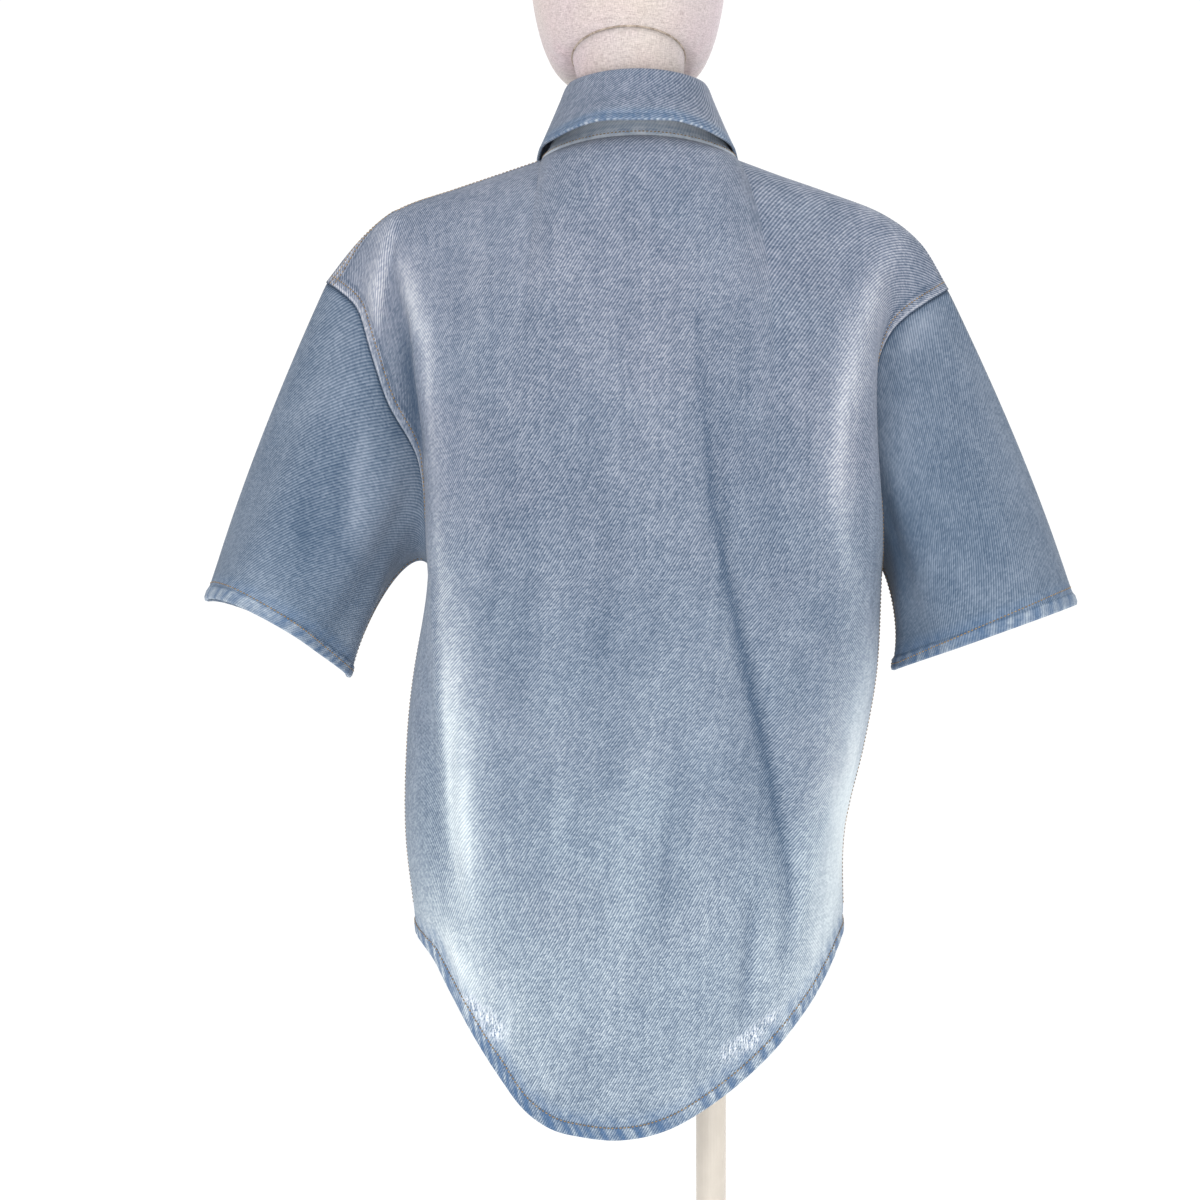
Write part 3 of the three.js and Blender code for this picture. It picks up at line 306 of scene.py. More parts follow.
def denim_group():
    group = bpy.data.node_groups.new("denim_cloth", "ShaderNodeTree")
    sockets = group.interface
    for name, start in (("Fade", 0.0), ("Grain", 1.0), ("Warmth", 1.0)):
        sockets.new_socket(name, in_out="INPUT", socket_type="NodeSocketFloat").default_value = start
    sockets.new_socket("Color", in_out="OUTPUT", socket_type="NodeSocketColor")
    sockets.new_socket("Height", in_out="OUTPUT", socket_type="NodeSocketFloat")
    nodes = group.nodes
    links = group.links
    given = nodes.new("NodeGroupInput")
    out = nodes.new("NodeGroupOutput")

    def plug(item, socket):
        if isinstance(item, (int, float)):
            socket.default_value = item
        else:
            links.new(item, socket)

    def maths(operation, a, b=0.0, clamp=False):
        node = add_node(nodes, "ShaderNodeMath", operation=operation)
        plug(a, node.inputs[0])
        plug(b, node.inputs[1])
        node.use_clamp = clamp
        return node.outputs[0]

    def add(*items):
        total = items[0]
        for item in items[1:]:
            total = maths("ADD", total, item)
        return total

    def times(a, b):
        return maths("MULTIPLY", a, b)

    def less(a, b):
        return maths("SUBTRACT", a, b)

    def attribute(name):
        return add_node(nodes, "ShaderNodeAttribute", attribute_name=name).outputs["Fac"]

    def rise(source, low, high):
        """0 below low, 1 above high, smooth between."""
        node = add_node(nodes, "ShaderNodeMapRange", interpolation_type="SMOOTHSTEP")
        links.new(source, node.inputs["Value"])
        node.inputs["From Min"].default_value = low
        node.inputs["From Max"].default_value = high
        return node.outputs["Result"]

    def band(source, low, high, soft):
        return times(rise(source, low - soft, low + soft), less(1.0, rise(source, high - soft, high + soft)))

    def noise(vector, scale, detail=2.0, rough=0.5, stretch=None):
        if stretch:
            node = add_node(nodes, "ShaderNodeMapping")
            node.inputs["Scale"].default_value = stretch
            links.new(vector, node.inputs["Vector"])
            vector = node.outputs["Vector"]
        node = add_node(nodes, "ShaderNodeTexNoise", Scale=scale, Detail=detail, Roughness=rough)
        links.new(vector, node.inputs["Vector"])
        return less(node.outputs["Fac"], 0.5)

    def blend(factor, under, over, kind="MIX"):
        node = add_node(nodes, "ShaderNodeMix", data_type="RGBA", blend_type=kind)
        plug(factor, node.inputs["Factor"])
        for item, socket in ((under, node.inputs["A"]), (over, node.inputs["B"])):
            if isinstance(item, tuple):
                socket.default_value = item
            else:
                links.new(item, socket)
        return node.outputs["Result"]

    grain = add_node(nodes, "ShaderNodeUVMap", uv_map="grain").outputs["UV"]
    solid = add_node(nodes, "ShaderNodeTexCoord").outputs["Object"]
    split = add_node(nodes, "ShaderNodeSeparateXYZ")
    links.new(grain, split.inputs[0])
    level = add_node(nodes, "ShaderNodeSeparateXYZ")
    links.new(solid, level.inputs[0])
    hem, seam, rope, fray, wear_and_shading = (attribute(n) for n in ("hem", "seam", "rope", "fray", "wear_and_shading"))

    # The twill: steep ribs that rise to the right, each a row of short warp floats of uneven blue.
    rib_turn = add(times(split.outputs["X"], 1 / TWILL_ACROSS), times(split.outputs["Y"], -1 / TWILL_ALONG),
                   times(noise(grain, 30.0), 0.4))
    rib_number = maths("FLOOR", rib_turn)
    float_number = maths("FLOOR", add(times(split.outputs["Y"], 1 / FLOAT_LENGTH), times(rib_number, 0.37)))
    one_float = nodes.new("ShaderNodeCombineXYZ")
    links.new(rib_number, one_float.inputs[0])
    links.new(float_number, one_float.inputs[1])
    chance = add_node(nodes, "ShaderNodeTexWhiteNoise", noise_dimensions="2D")
    links.new(one_float.outputs[0], chance.inputs["Vector"])
    rib = maths("SINE", times(rib_turn, 2 * math.pi))
    weave = add(times(rib, 0.32), times(less(chance.outputs["Value"], 0.5), 0.34),
                times(noise(grain, 1.0, 3.0, 0.65, (230, 7, 1)), 0.26),
                times(noise(grain, 1.0, 2.0, 0.5, (64, 2.5, 1)), 0.16),
                times(noise(grain, 1.0, 2.0, 0.5, (30, 420, 1)), 0.12))
    # The weave shows less where the cloth is paler, whether from wash or from painted light.
    weave_share = maths("SUBTRACT", 1.0, times(wear_and_shading, 1.5), clamp=True)
    # painted shading of the ribs: lower down, where the low fill light flattens their relief, the weave's contrast is
    # raised
    low_down = less(1.0, rise(level.outputs["Z"], 0.72, 0.98))
    weave = times(times(weave, add(times(weave_share, 0.75), 0.25)), add(times(low_down, 0.2), 1.0))

    # The wash: soft clouds, the placed fades with their painted shading, and the rubbing along hems and seams, with
    # painted shade in their gaps and grooves.
    cloud = add(times(noise(solid, 7.0, 3.0), 0.16), times(noise(solid, 30.0, 4.0, 0.6), 0.17),
                times(noise(solid, 1.0, 3.0, 0.55, (60, 60, 14)), 0.12))
    chewed = noise(solid, 150.0, 3.0, 0.65)
    roping = maths("ADD", rope, times(chewed, 0.8), clamp=True)
    unroped = less(1.0, roping)
    in_hem = less(1.0, rise(hem, 0.0098, 0.0110))
    hem_edge = less(1.0, rise(hem, 0.0, 0.0020))
    above_hem = times(rise(hem, 0.0104, 0.0118), less(1.0, rise(hem, 0.0125, 0.0240)))
    in_seam = less(1.0, rise(seam, 0.0084, 0.0096))
    rubbed_and_groove_shade = add(times(in_hem, add(times(roping, 0.52), -0.41)),
                 times(hem_edge, 0.11),
                 times(above_hem, add(times(roping, 0.16), -0.10)),
                 # painted shade in the groove of the hem's stitch row
                 times(band(hem, 0.0092, 0.0112, 0.0006), -0.13),
                 times(in_seam, add(times(chewed, 0.75), 0.045)),
                 # painted shade: a dark line in the gap at a seam's edge, then its rubbed pale edge (wear), a dark
                 # groove at its stitch row and a darker strip beside its raised band
                 times(less(1.0, rise(seam, 0.0002, 0.0010)), -0.34),
                 times(band(seam, 0.0010, 0.0028, 0.0006), 0.18),
                 times(band(seam, 0.0060, 0.0078, 0.0006), -0.11),
                 times(band(seam, 0.0094, 0.0122, 0.0010), -0.12))
    fade = add(given.outputs["Fade"], wear_and_shading, cloud, rubbed_and_groove_shade, times(weave, given.outputs["Grain"]), 0.5)

    shades = add_node(nodes, "ShaderNodeValToRGB")
    stops = shades.color_ramp.elements
    stops[0].position, stops[1].position = 0.0, 1.0
    for position, colour in DENIM_SHADES[1:-1]:
        stops.new(position)
    for stop, (position, colour) in zip(stops, DENIM_SHADES):
        stop.position, stop.color = position, shade_of(*colour, STUDIO_LIGHT)
    links.new(fade, shades.inputs["Fac"])

    # Higher up the blue is greyer and redder, lower down clearer, and above the hem it stays deep.
    height_share = maths("ADD", rise(level.outputs["Z"], 0.80, 1.40), times(noise(solid, 8.0, 2.0), 1.2), clamp=True)
    height_share = times(times(height_share, given.outputs["Warmth"]), add(times(rise(hem, 0.010, 0.034), 0.75), 0.25))
    colour = blend(1.0, shades.outputs["Color"], blend(height_share, (1.005, 0.995, 0.965, 1), (1.115, 0.975, 0.93, 1)),
                   "MULTIPLY")
    blue = maths("ADD", times(above_hem, add(times(unroped, 0.32), 0.14)), times(times(in_hem, unroped), 0.75), clamp=True)
    colour = blend(blue, colour, shade_of(*HEM_BLUE, STUDIO_LIGHT))
    strands = noise(grain, 1.0, 2.0, 0.6, (900, 130, 1))
    colour = blend(times(fray, rise(strands, -0.03, 0.07)), colour, shade_of(*FRAY_WHITE, STUDIO_LIGHT))
    colour = blend(times(times(fray, rise(noise(grain, 420.0), 0.07, 0.14)), 0.7), colour,
                   shade_of(86, 112, 150, STUDIO_LIGHT))
    links.new(colour, out.inputs["Color"])
    links.new(add(weave, times(in_seam, times(chewed, 2.4)), times(in_hem, times(chewed, 1.6)),
                  times(fray, times(strands, 5.0)), 0.5), out.inputs["Height"])
    return group


cloth_group = denim_group()


def denim_material(name, fade, grain, warmth):
    material, nodes, links, shader = new_material(name)
    cloth = nodes.new("ShaderNodeGroup")
    cloth.node_tree = cloth_group
    cloth.inputs["Fade"].default_value = fade
    cloth.inputs["Grain"].default_value = grain
    cloth.inputs["Warmth"].default_value = warmth
    links.new(cloth.outputs["Color"], shader.inputs["Base Color"])
    bump = add_node(nodes, "ShaderNodeBump", Strength=0.5, Distance=0.0005)
    links.new(cloth.outputs["Height"], bump.inputs["Height"])
    links.new(bump.outputs["Normal"], shader.inputs["Normal"])
    shader.inputs["Roughness"].default_value = 0.9
    shader.inputs["Sheen Weight"].default_value = 0.12
    shader.inputs["Sheen Roughness"].default_value = 0.5
    shader.inputs["Specular IOR Level"].default_value = 0.2
    return material


denim = denim_material("denim", 0.0, 0.60, 1.0)


# ---------------------------------------------------------------- back and fronts
# Three panels of denim cut flat on the straight grain, sewn at the shoulders and sides with felled seams.
# They stand on the form's shoulders and hang loose from there, and their curved hems are turned up
# once and topstitched. Sizes here are in millimetres.

WALL = 2.0
HEM_WALL = 3.4
HEM_BAND = 10.5
UNDERARM = 1110
SIDE_SEAM_Y = 4
PLACKET_HALF = 17
PULL_REACH, PULL_POWER = 7, 1.3
ARC_POWER = 0.87
LEAN_LEFT, LEAN_RIGHT = 2.3, 6
SHOULDER_STEPS, BACK_NECK_STEPS, FRONT_NECK_STEPS, ARMHOLE_STEPS = 10, 12, 5, 11
FINE = 7            # fine columns to each of the pattern's steps
UP_ROWS = 96        # fine rows above the underarm
DOWN_ROWS = 84      # fine rows below it
BAND_ROWS = 6

SKIRT = {  # sections from the side notches up to the underarm
    "z": (640, 816, 898, 974, 1032, 1110),
    "left": (-168, -179, -188, -187, -181, -166),
    "right": (158, 169, 170, 187, 197, 201),
    "back": (-118, -127, -129, -129, -127, -122),
    "front": (104, 113, 118, 122, 125, 126),
    "square_left": (3.2, 3.3, 3.4, 3.6, 4.0, 4.6),
    "square_right": (2.6, 2.6, 2.6, 2.6, 2.7, 3.0),
}
BACK_HEM = {
    "share": (0, 0.1, 0.17, 0.21, 0.25, 0.29, 0.33, 0.37, 0.41, 0.49, 0.57, 0.65, 0.73, 0.81, 0.86, 0.91, 1),
    "z": (820, 816, 803, 777, 744, 713, 686, 671, 664.5, 660.5, 669, 692, 724, 764, 790, 810, 820),
}
FRONT_HEM = {
    "share": (0, 0.1, 0.2, 0.3, 0.4, 0.5, 0.6, 0.7, 0.8, 0.9, 1),
    "z": (820, 810, 780, 742, 716, 708, 716, 742, 780, 810, 820),
}
ARMHOLE_LEFT = {
    "z": (1351, 1344, 1328, 1291, 1250, 1204, 1151, 1122, UNDERARM),
    "x": (-254, -244, -228, -216, -202, -177, -170, -169, -166),
    "back": (-8, -21, -33, -45, -50, -52, -46, -27, SIDE_SEAM_Y),
    "front": (-8, 6, 20, 36, 45, 48, 44, 34, SIDE_SEAM_Y),
}
ARMHOLE_RIGHT = {
    "z": (1346, 1334, 1322, 1308, 1280, 1240, 1196, 1156, 1124, UNDERARM),
    "x": (257, 238, 221, 207, 194, 190, 193, 198, 200, 201),
    "back": (0, -20, -31, -40, -48, -52, -52, -46, -27, SIDE_SEAM_Y),
    "front": (0, 16, 26, 34, 42, 47, 47, 42, 29, SIDE_SEAM_Y),
}
SHOULDER_LEFT = ((-254, -8, 1351), (-226, -6, 1386), (-196, -1, 1410), (-150, 4, 1427), (-112, 6, 1440),
                 (-77, 6, 1452))
SHOULDER_RIGHT = ((257, 0, 1346), (234, 2, 1384), (205, 4, 1407), (158, 6, 1426), (118, 6, 1440),
                  (83, 6, 1453))
NECKLINE = dict(x=3, y=3, half=80, back=61, front=64, z_side=1452.5, z_back=1466, z_front=1410)
RING_POWER = 1.7

BACK_FOLDS = (  # x and z of each place along the line; width on its left and right going down; rise
    (-198, 1402, -208, 1343, -212, 1300, 13, 4, 8), (-192, 1366, -176, 1312, -167, 1252, -164, 1200, 6, 15, 11),
    (-163, 1200, -157, 1110, -152, 1000, -144, 900, 8, 18, 8), (-187, 1340, -183, 1262, -173, 1205, 10, 7, -7),
    (48, 1317, 59, 1170, 81, 1063, 105, 952, 122, 867, 118, 801, 15, 6, -6),
    (64, 1290, 78, 1160, 102, 1050, 140, 870, 7, 16, 3),
    (20, 1240, 42, 1040, 60, 800, 22, 30, 3.5), (150, 1046, 148, 920, 118, 790, 18, 10, 5),
    (93, 850, 88, 800, 82, 745, 9, 5, -4), (209, 1376, 178, 1305, 162, 1226, 160, 1150, 8, 14, 6),
    (-138, 990, -137, 910, -132, 838, 4, 9, 3.5),
    (-149, 823, -142, 798, -133, 771, 4, 7, 3), (-100, 779, -103, 750, -105, 720, 5, 10, -4),
    (-80, 727, -74, 708, -66, 690, 6, 6, -3), (-40, 1200, -36, 1130, -30, 1050, 18, 12, -2.5),
    (-38, 1270, -38, 1230, -37, 1186, 5, 8, -1.5), (12, 1024, 0, 900, -13, 786, 14, 10, 2.5),
    (34, 980, 24, 880, 10, 770, 5, 9, -2), (-70, 1000, -64, 900, -56, 800, 14, 20, 2),
    (-60, 1392, -70, 1350, -76, 1300, 16, 10, 1.5), (64, 1400, 76, 1360, 84, 1310, 10, 16, 1.5),
)
FRONT_FOLDS = (
    (-190, 1372, -172, 1280, -150, 1150, 9, 16, 7), (196, 1368, 176, 1280, 158, 1150, 16, 9, 6),
    (-96, 1180, -112, 1000, -120, 800, 14, 24, 5), (92, 1190, 118, 1010, 126, 800, 24, 14, 5),
    (-60, 1120, -70, 960, -72, 780, 14, 18, -5), (58, 1100, 66, 950, 74, 770, 12, 17, -4),
    (-158, 1060, -160, 960, -150, 860, 12, 14, 4), (36, 1300, 60, 1210, 66, 1100, 10, 16, 2.5),
    (-40, 1310, -56, 1220, -66, 1130, 16, 10, 2.5), (-130, 1300, -120, 1210, -124, 1120, 9, 12, -4),
    (132, 1290, 126, 1200, 130, 1110, 12, 9, -4), (-30, 1040, -34, 930, -30, 830, 6, 10, -2.5),
    (30, 990, 38, 900, 34, 800, 10, 6, -2.5),
)
FOLD_FADE = 22


def column(table, key, name, at):
    """Values of a table's column at the places `at`, on a smooth curve through its rows."""
    xs = np.array(table[key], float)
    ys = np.array(table[name], float)
    at = np.clip(np.asarray(at, float), xs[0], xs[-1])
    i = np.clip(np.searchsorted(xs, at, side="right") - 1, 0, len(xs) - 2)
    low = np.maximum(np.arange(len(xs)) - 1, 0)
    high = np.minimum(np.arange(len(xs)) + 1, len(xs) - 1)
    slope = (ys[high] - ys[low]) / (xs[high] - xs[low])
    span = xs[i + 1] - xs[i]
    t = (at - xs[i]) / span
    a, b, out, into = ys[i], ys[i + 1], slope[i] * span, slope[i + 1] * span
    return a + t * (out + t * (3 * (b - a) - 2 * out - into + t * (2 * (a - b) + out + into)))


def at_shares(line, shares):
    line = np.asarray(line, float)
    lengths = np.concatenate([[0], np.cumsum(np.linalg.norm(np.diff(line, axis=0), axis=1))])
    want = np.clip(shares, 0, 1) * lengths[-1]
    return np.stack([np.interp(want, lengths, line[:, k]) for k in range(3)], axis=-1)


def smooth_line(rows, samples=40):
    """Centripetal curve through the rows, as a fine polyline."""
    rows = [np.array(r, float) for r in rows]
    rows = [2 * rows[0] - rows[1]] + rows + [2 * rows[-1] - rows[-2]]
    line = []
    for p0, p1, p2, p3 in zip(rows, rows[1:], rows[2:], rows[3:]):
        d0, d1, d2 = (max(np.linalg.norm(b - a), 1e-6) ** 0.5 for a, b in ((p0, p1), (p1, p2), (p2, p3)))
        out = ((p1 - p0) / d0 - (p2 - p0) / (d0 + d1) + (p2 - p1) / d1) * d1
        into = ((p2 - p1) / d1 - (p3 - p1) / (d1 + d2) + (p3 - p2) / d2) * d1
        for k in range(samples):
            t = k / samples
            line.append(p1 + t * (out + t * (3 * (p2 - p1) - 2 * out - into
                                             + t * (2 * (p1 - p2) + out + into))))
    line.append(rows[-2])
    return np.array(line)


def skirt_table(side):
    """Points of the skirt's half sections for levels and shares, to read at any place between."""
    levels = np.linspace(640, UNDERARM, 118)
    shares = np.linspace(0, 1, 401)
    angle = np.linspace(0, math.pi / 2, 97)
    sections = []
    for z in levels:
        left, right, deep, square_left, square_right = (
            float(column(SKIRT, "z", n, z)) for n in ("left", "right", side, "square_left", "square_right"))
        middle = (left + right) / 2
        parts = []
        for edge, square in ((left, square_left), (right, square_right)):
            parts.append(np.stack([middle + (edge - middle) * np.cos(angle) ** (2 / square),
                                   SIDE_SEAM_Y + (deep - SIDE_SEAM_Y) * np.sin(angle) ** (2 / square),
                                   np.full_like(angle, z)], axis=-1))
        line = np.concatenate([parts[0], parts[1][::-1][1:]])
        sections.append(at_shares(line if side == "back" else line[::-1], shares))
    return levels, shares, np.array(sections)


def read_table(table, z, share):
    levels, shares, sections = table
    a = np.clip((z - levels[0]) / (levels[1] - levels[0]), 0, len(levels) - 1.000001)
    b = np.clip(share / shares[1], 0, len(shares) - 1.000001)
    i, j = a.astype(int), b.astype(int)
    s, t = (a - i)[..., None], (b - j)[..., None]
    return ((sections[i, j] * (1 - s) + sections[i + 1, j] * s) * (1 - t)
            + (sections[i, j + 1] * (1 - s) + sections[i + 1, j + 1] * s) * t)


def ring_point(ring, degrees):
    angle = np.radians(np.asarray(degrees, float))
    front = np.cos(angle)
    swing = np.abs(front) ** RING_POWER
    z = ring["z_side"] + np.where(front > 0, ring["z_front"] - ring["z_side"], ring["z_back"] - ring["z_side"]) * swing
    depth = np.where(front > 0, ring["front"], ring["back"])
    return np.stack([ring["x"] + ring["half"] * np.sin(angle), ring["y"] + depth * front, z], axis=-1)


def neck_point(degrees):
    """The neckline, drawn to meet the shoulder seams at their upper ends."""
    degrees = np.asarray(degrees, float) % 360
    point = ring_point(NECKLINE, degrees)
    for corner, at in ((SHOULDER_LEFT[-1], 270), (SHOULDER_RIGHT[-1], 90)):
        near = np.clip(1 - np.abs(degrees - at) / 15, 0, 1)[..., None]
        point = point + near * (np.array(corner, float) - ring_point(NECKLINE, at))
    return point


def between(knots, values, at):
    return np.interp(at, knots, values)


placket_angle = math.degrees(math.asin(PLACKET_HALF / NECKLINE["half"]))
front_neck_angles = [0] + [placket_angle + (90 - placket_angle) * i / (FRONT_NECK_STEPS - 1)
                           for i in range(FRONT_NECK_STEPS)]
shoulder_lines = {"left": smooth_line(SHOULDER_LEFT), "right": smooth_line(SHOULDER_RIGHT)}
armholes = {}
for name, table in (("left", ARMHOLE_LEFT), ("right", ARMHOLE_RIGHT)):
    for half in ("back", "front"):
        rows = list(zip(table["x"], table[half], table["z"]))
        armholes[name, half] = smooth_line(rows)[::-1]

front_table = skirt_table("front")
back_table = skirt_table("back")
under_front = front_table[2][-1]
front_width = np.linalg.norm(np.diff(under_front, axis=0), axis=1).sum()
placket_share = PLACKET_HALF / front_width
front_columns = SHOULDER_STEPS + FRONT_NECK_STEPS


def panel_grid(table, hem, shares, top, lean, left=None, right=None):
    """Fine grid of a panel. Rows run from the hem to the top edge, columns across."""
    columns = len(shares)
    steps = np.arange(columns) / FINE
    width = np.linalg.norm(np.diff(table[2][-1], axis=0), axis=1).sum()
    edge = column(hem, "share", "z", shares)
    climb = (column(hem, "share", "z", shares + 0.01) - column(hem, "share", "z", shares - 0.01)) / (0.02 * width)
    band = edge + HEM_BAND * np.hypot(1, climb)
    levels = [edge + (band - edge) * i / BAND_ROWS for i in range(BAND_ROWS)]
    levels += [band + (UNDERARM - band) * (i / DOWN_ROWS) for i in range(DOWN_ROWS + 1)]
    rows = [read_table(table, z, shares) for z in levels]
    base = rows[-1]
    angle = np.linspace(0, math.pi / 2, 97)
    up, over = np.sin(angle) ** ARC_POWER, 1 - np.cos(angle) ** ARC_POWER
    part = np.arange(1, UP_ROWS + 1) / UP_ROWS
    arcs = np.empty((columns, UP_ROWS, 3))
    for c in range(columns):
        line = np.stack([base[c, 0] + (top[c, 0] - base[c, 0]) * up ** lean[c],
                         base[c, 1] + (top[c, 1] - base[c, 1]) * over,
                         base[c, 2] + (top[c, 2] - base[c, 2]) * up], axis=-1)
        arcs[c] = at_shares(line, part)
    moved = arcs.copy()
    for hole, c, away in ((left, 0, steps), (right, columns - 1, steps[-1] - steps)):
        if hole is None:
            continue
        pull = at_shares(hole, part) - arcs[c]
        weight = np.clip(1 - away / PULL_REACH, 0, 1) ** PULL_POWER
        moved += weight[:, None, None] * pull[None]
    rows += [moved[:, r] for r in range(UP_ROWS)]
    return np.array(rows)


def grid_normals(grid, wrap=False):
    g = np.concatenate([grid, grid[:, :1]], axis=1) if wrap else grid
    face = np.cross(g[1:, 1:] - g[:-1, :-1], g[1:, :-1] - g[:-1, 1:])
    total = np.zeros_like(g)
    for dr in (0, 1):
        for dc in (0, 1):
            total[dr:dr + face.shape[0], dc:dc + face.shape[1]] += face
    if wrap:
        total[:, 0] += total[:, -1]
        total = total[:, :-1]
    return total / np.maximum(np.linalg.norm(total, axis=-1, keepdims=True), 1e-9)


def smoothstep(x, low, high):
    t = np.clip((x - low) / (high - low), 0, 1)
    return t * t * (3 - 2 * t)


def bent_line(points, *places):
    """Signed distance from a bent line seen square on, and the share of the way along it."""
    x, z = points[..., 0], points[..., 2]
    stops = list(zip(places[0::2], places[1::2]))
    best = np.full(x.shape, 1e9)
    along = np.zeros(x.shape)
    for i, ((ax, az), (bx, bz)) in enumerate(zip(stops, stops[1:])):
        dx, dz = bx - ax, bz - az
        t = np.clip(((x - ax) * dx + (z - az) * dz) / (dx * dx + dz * dz), 0, 1)
        side = np.sign((x - ax) * dz - (z - az) * dx)
        distance = np.hypot(x - ax - t * dx, z - az - t * dz)
        nearer = distance < np.abs(best)
        best = np.where(nearer, distance * side, best)
        along = np.where(nearer, (i + t) / (len(stops) - 1), along)
    return best, along


def line_rise(points, folds):
    """Height of the folds at points seen square on: crisp at the crest and soft at the foot."""
    total = np.zeros(points.shape[:-1])
    for *ends, left, right, rise in folds:
        distance, along = bent_line(points, *ends)
        width = np.where(distance > 0, left, right)
        reach = np.sqrt((distance / width) ** 2 + 0.04) - 0.2
        total += rise * np.sin(math.pi * (0.1 + 0.8 * along)) * np.exp(-reach ** 1.5)
    return total


def panel_distances(grid):
    side_left = np.linalg.norm(grid - grid[:, :1], axis=-1)
    side_right = np.linalg.norm(grid - grid[:, -1:], axis=-1)
    top = np.linalg.norm(grid - grid[-1:], axis=-1)
    return side_left, side_right, top


def fold_panel(grid, folds):
    left, right, top = panel_distances(grid)
    fade = smoothstep(np.minimum(np.minimum(left, right), top), 0, FOLD_FADE)
    rise = line_rise(grid, folds)
    return grid + grid_normals(grid) * (fade * rise)[..., None], rise * fade


def fine(count):
    return np.arange(count * FINE + 1) / FINE


def top_edge(kind):
    """Top edge and its steps: shoulder, neck and shoulder again on the back, two of them on a front."""
    shoulder = np.linspace(0, 1, SHOULDER_STEPS * FINE + 1)
    left = at_shares(shoulder_lines["left"], shoulder)
    right = at_shares(shoulder_lines["right"], shoulder)
    if kind == "back":
        angles = np.linspace(270, 90, BACK_NECK_STEPS * FINE + 1)[1:-1]
        return np.concatenate([left, neck_point(angles), right[::-1]])
    steps = fine(FRONT_NECK_STEPS)[:-1]
    angles = between(range(FRONT_NECK_STEPS + 1), front_neck_angles, steps)
    if kind == "front_right":
        return np.concatenate([right, neck_point(angles[::-1])])
    return np.concatenate([neck_point(360 - angles), left[::-1]])


back_shares = np.linspace(0, 1, (2 * SHOULDER_STEPS + BACK_NECK_STEPS) * FINE + 1)
steps = fine(front_columns)
right_shares = between(list(range(front_columns)) + [front_columns],
                       [(0.5 - placket_share) * i / (front_columns - 1) for i in range(front_columns)] + [0.5],
                       steps)
left_shares = 1 - right_shares[::-1]
lean = lambda share: LEAN_LEFT + (LEAN_RIGHT - LEAN_LEFT) * share
grids, rises = {}, {}
grids["back"], rises["back"] = fold_panel(
    panel_grid(back_table, BACK_HEM, back_shares, top_edge("back"), lean(back_shares),
               armholes["left", "back"], armholes["right", "back"]), BACK_FOLDS)
grids["front_right"], rises["front_right"] = fold_panel(
    panel_grid(front_table, FRONT_HEM, right_shares, top_edge("front_right"), lean(1 - right_shares),
               armholes["right", "front"], None), FRONT_FOLDS)
grids["front_left"], rises["front_left"] = fold_panel(
    panel_grid(front_table, FRONT_HEM, left_shares, top_edge("front_left"), lean(1 - left_shares),
               None, armholes["left", "front"]), FRONT_FOLDS)


# The sleeves are cut as one piece each and set into the dropped armholes before the side seams close.
SLEEVE_ROWS = 72
SLEEVE_STEPS = 7
SLEEVES = {
    "left": dict(outer=(-354, -4, 1089), inner=(-240, 8, 1027), half_depth=82, lift_back=15, lift_front=8,
                 belly=6, pinch=27),
    "right": dict(outer=(363, 2, 1086), inner=(216, 14, 1033), half_depth=72, lift_back=2, lift_front=-4,
                  belly=6, pinch=17),
}
SLEEVE_FOLDS = (  # place along and angle at each end; width in degrees and rise
    (0.3, 148, 1.0, 166, 13, 5), (0.1, 120, 0.75, 132, 13, -4), (0.45, 52, 1.0, 60, 17, 2.5),
    (0.15, 205, 0.8, 214, 13, -3.5), (0.2, 288, 1.0, 280, 17, 3),
)


def sleeve_grid(spec, back_half, front_half, turn):
    outer, inner = np.array(spec["outer"], float), np.array(spec["inner"], float)
    centre = (outer + inner) / 2
    part = np.arange(UP_ROWS + 1) / UP_ROWS
    back = at_shares(back_half, part)[::-1]
    front = at_shares(front_half, part)[1:-1]
    ring = np.concatenate([back, front])
    middle = ring.mean(axis=0)
    length = np.linalg.norm(centre - middle)
    count = len(ring)
    angle = np.arange(count) / count * 2 * math.pi
    band = HEM_BAND / length
    along = list(np.linspace(0, 1 - band, SLEEVE_ROWS + 1)) + [1 - band * (1 - i / BAND_ROWS)
                                                               for i in range(1, BAND_ROWS + 1)]
    lift = (np.where(np.sin(angle) > 0, spec["lift_back"], spec["lift_front"])
            * (np.sqrt(np.sin(angle) ** 2 + 0.03) - 0.173) / 0.842)
    hem = centre + (outer - centre) * np.cos(angle)[:, None]
    hem[:, 1] -= spec["half_depth"] * np.sin(angle)
    hem[:, 2] += lift
    inside = np.maximum(-np.cos(angle), 0) ** 2
    degrees = np.degrees(angle)
    rows, rises = [], []
    for u in along:
        point = ring + (hem - ring) * u
        axis = middle + (centre - middle) * u
        outward = point - axis
        outward /= np.linalg.norm(outward, axis=1, keepdims=True)
        rise = spec["belly"] * 4 * u * (1 - u) * (1 - inside) - spec["pinch"] * inside * math.sin(math.pi * math.sqrt(u))
        folds = np.zeros(count)
        for along1, angle1, along2, angle2, width, height in SLEEVE_FOLDS:
            t = min(max((u - along1) / (along2 - along1), 0), 1)
            off = (degrees - (angle1 + (angle2 - angle1) * t)) / width
            folds += (height * smoothstep(u, along1 - 0.1, along1 + 0.25) * np.exp(-off * off)
                      * smoothstep(u, 0, 0.15))
        rows.append(point + outward * (rise + folds)[:, None])
        rises.append(folds)
    grid, rises = np.array(rows), np.array(rises)
    if turn:
        order = [0] + list(range(count - 1, 0, -1))
        grid, rises = grid[:, order], rises[:, order]
    return grid, rises


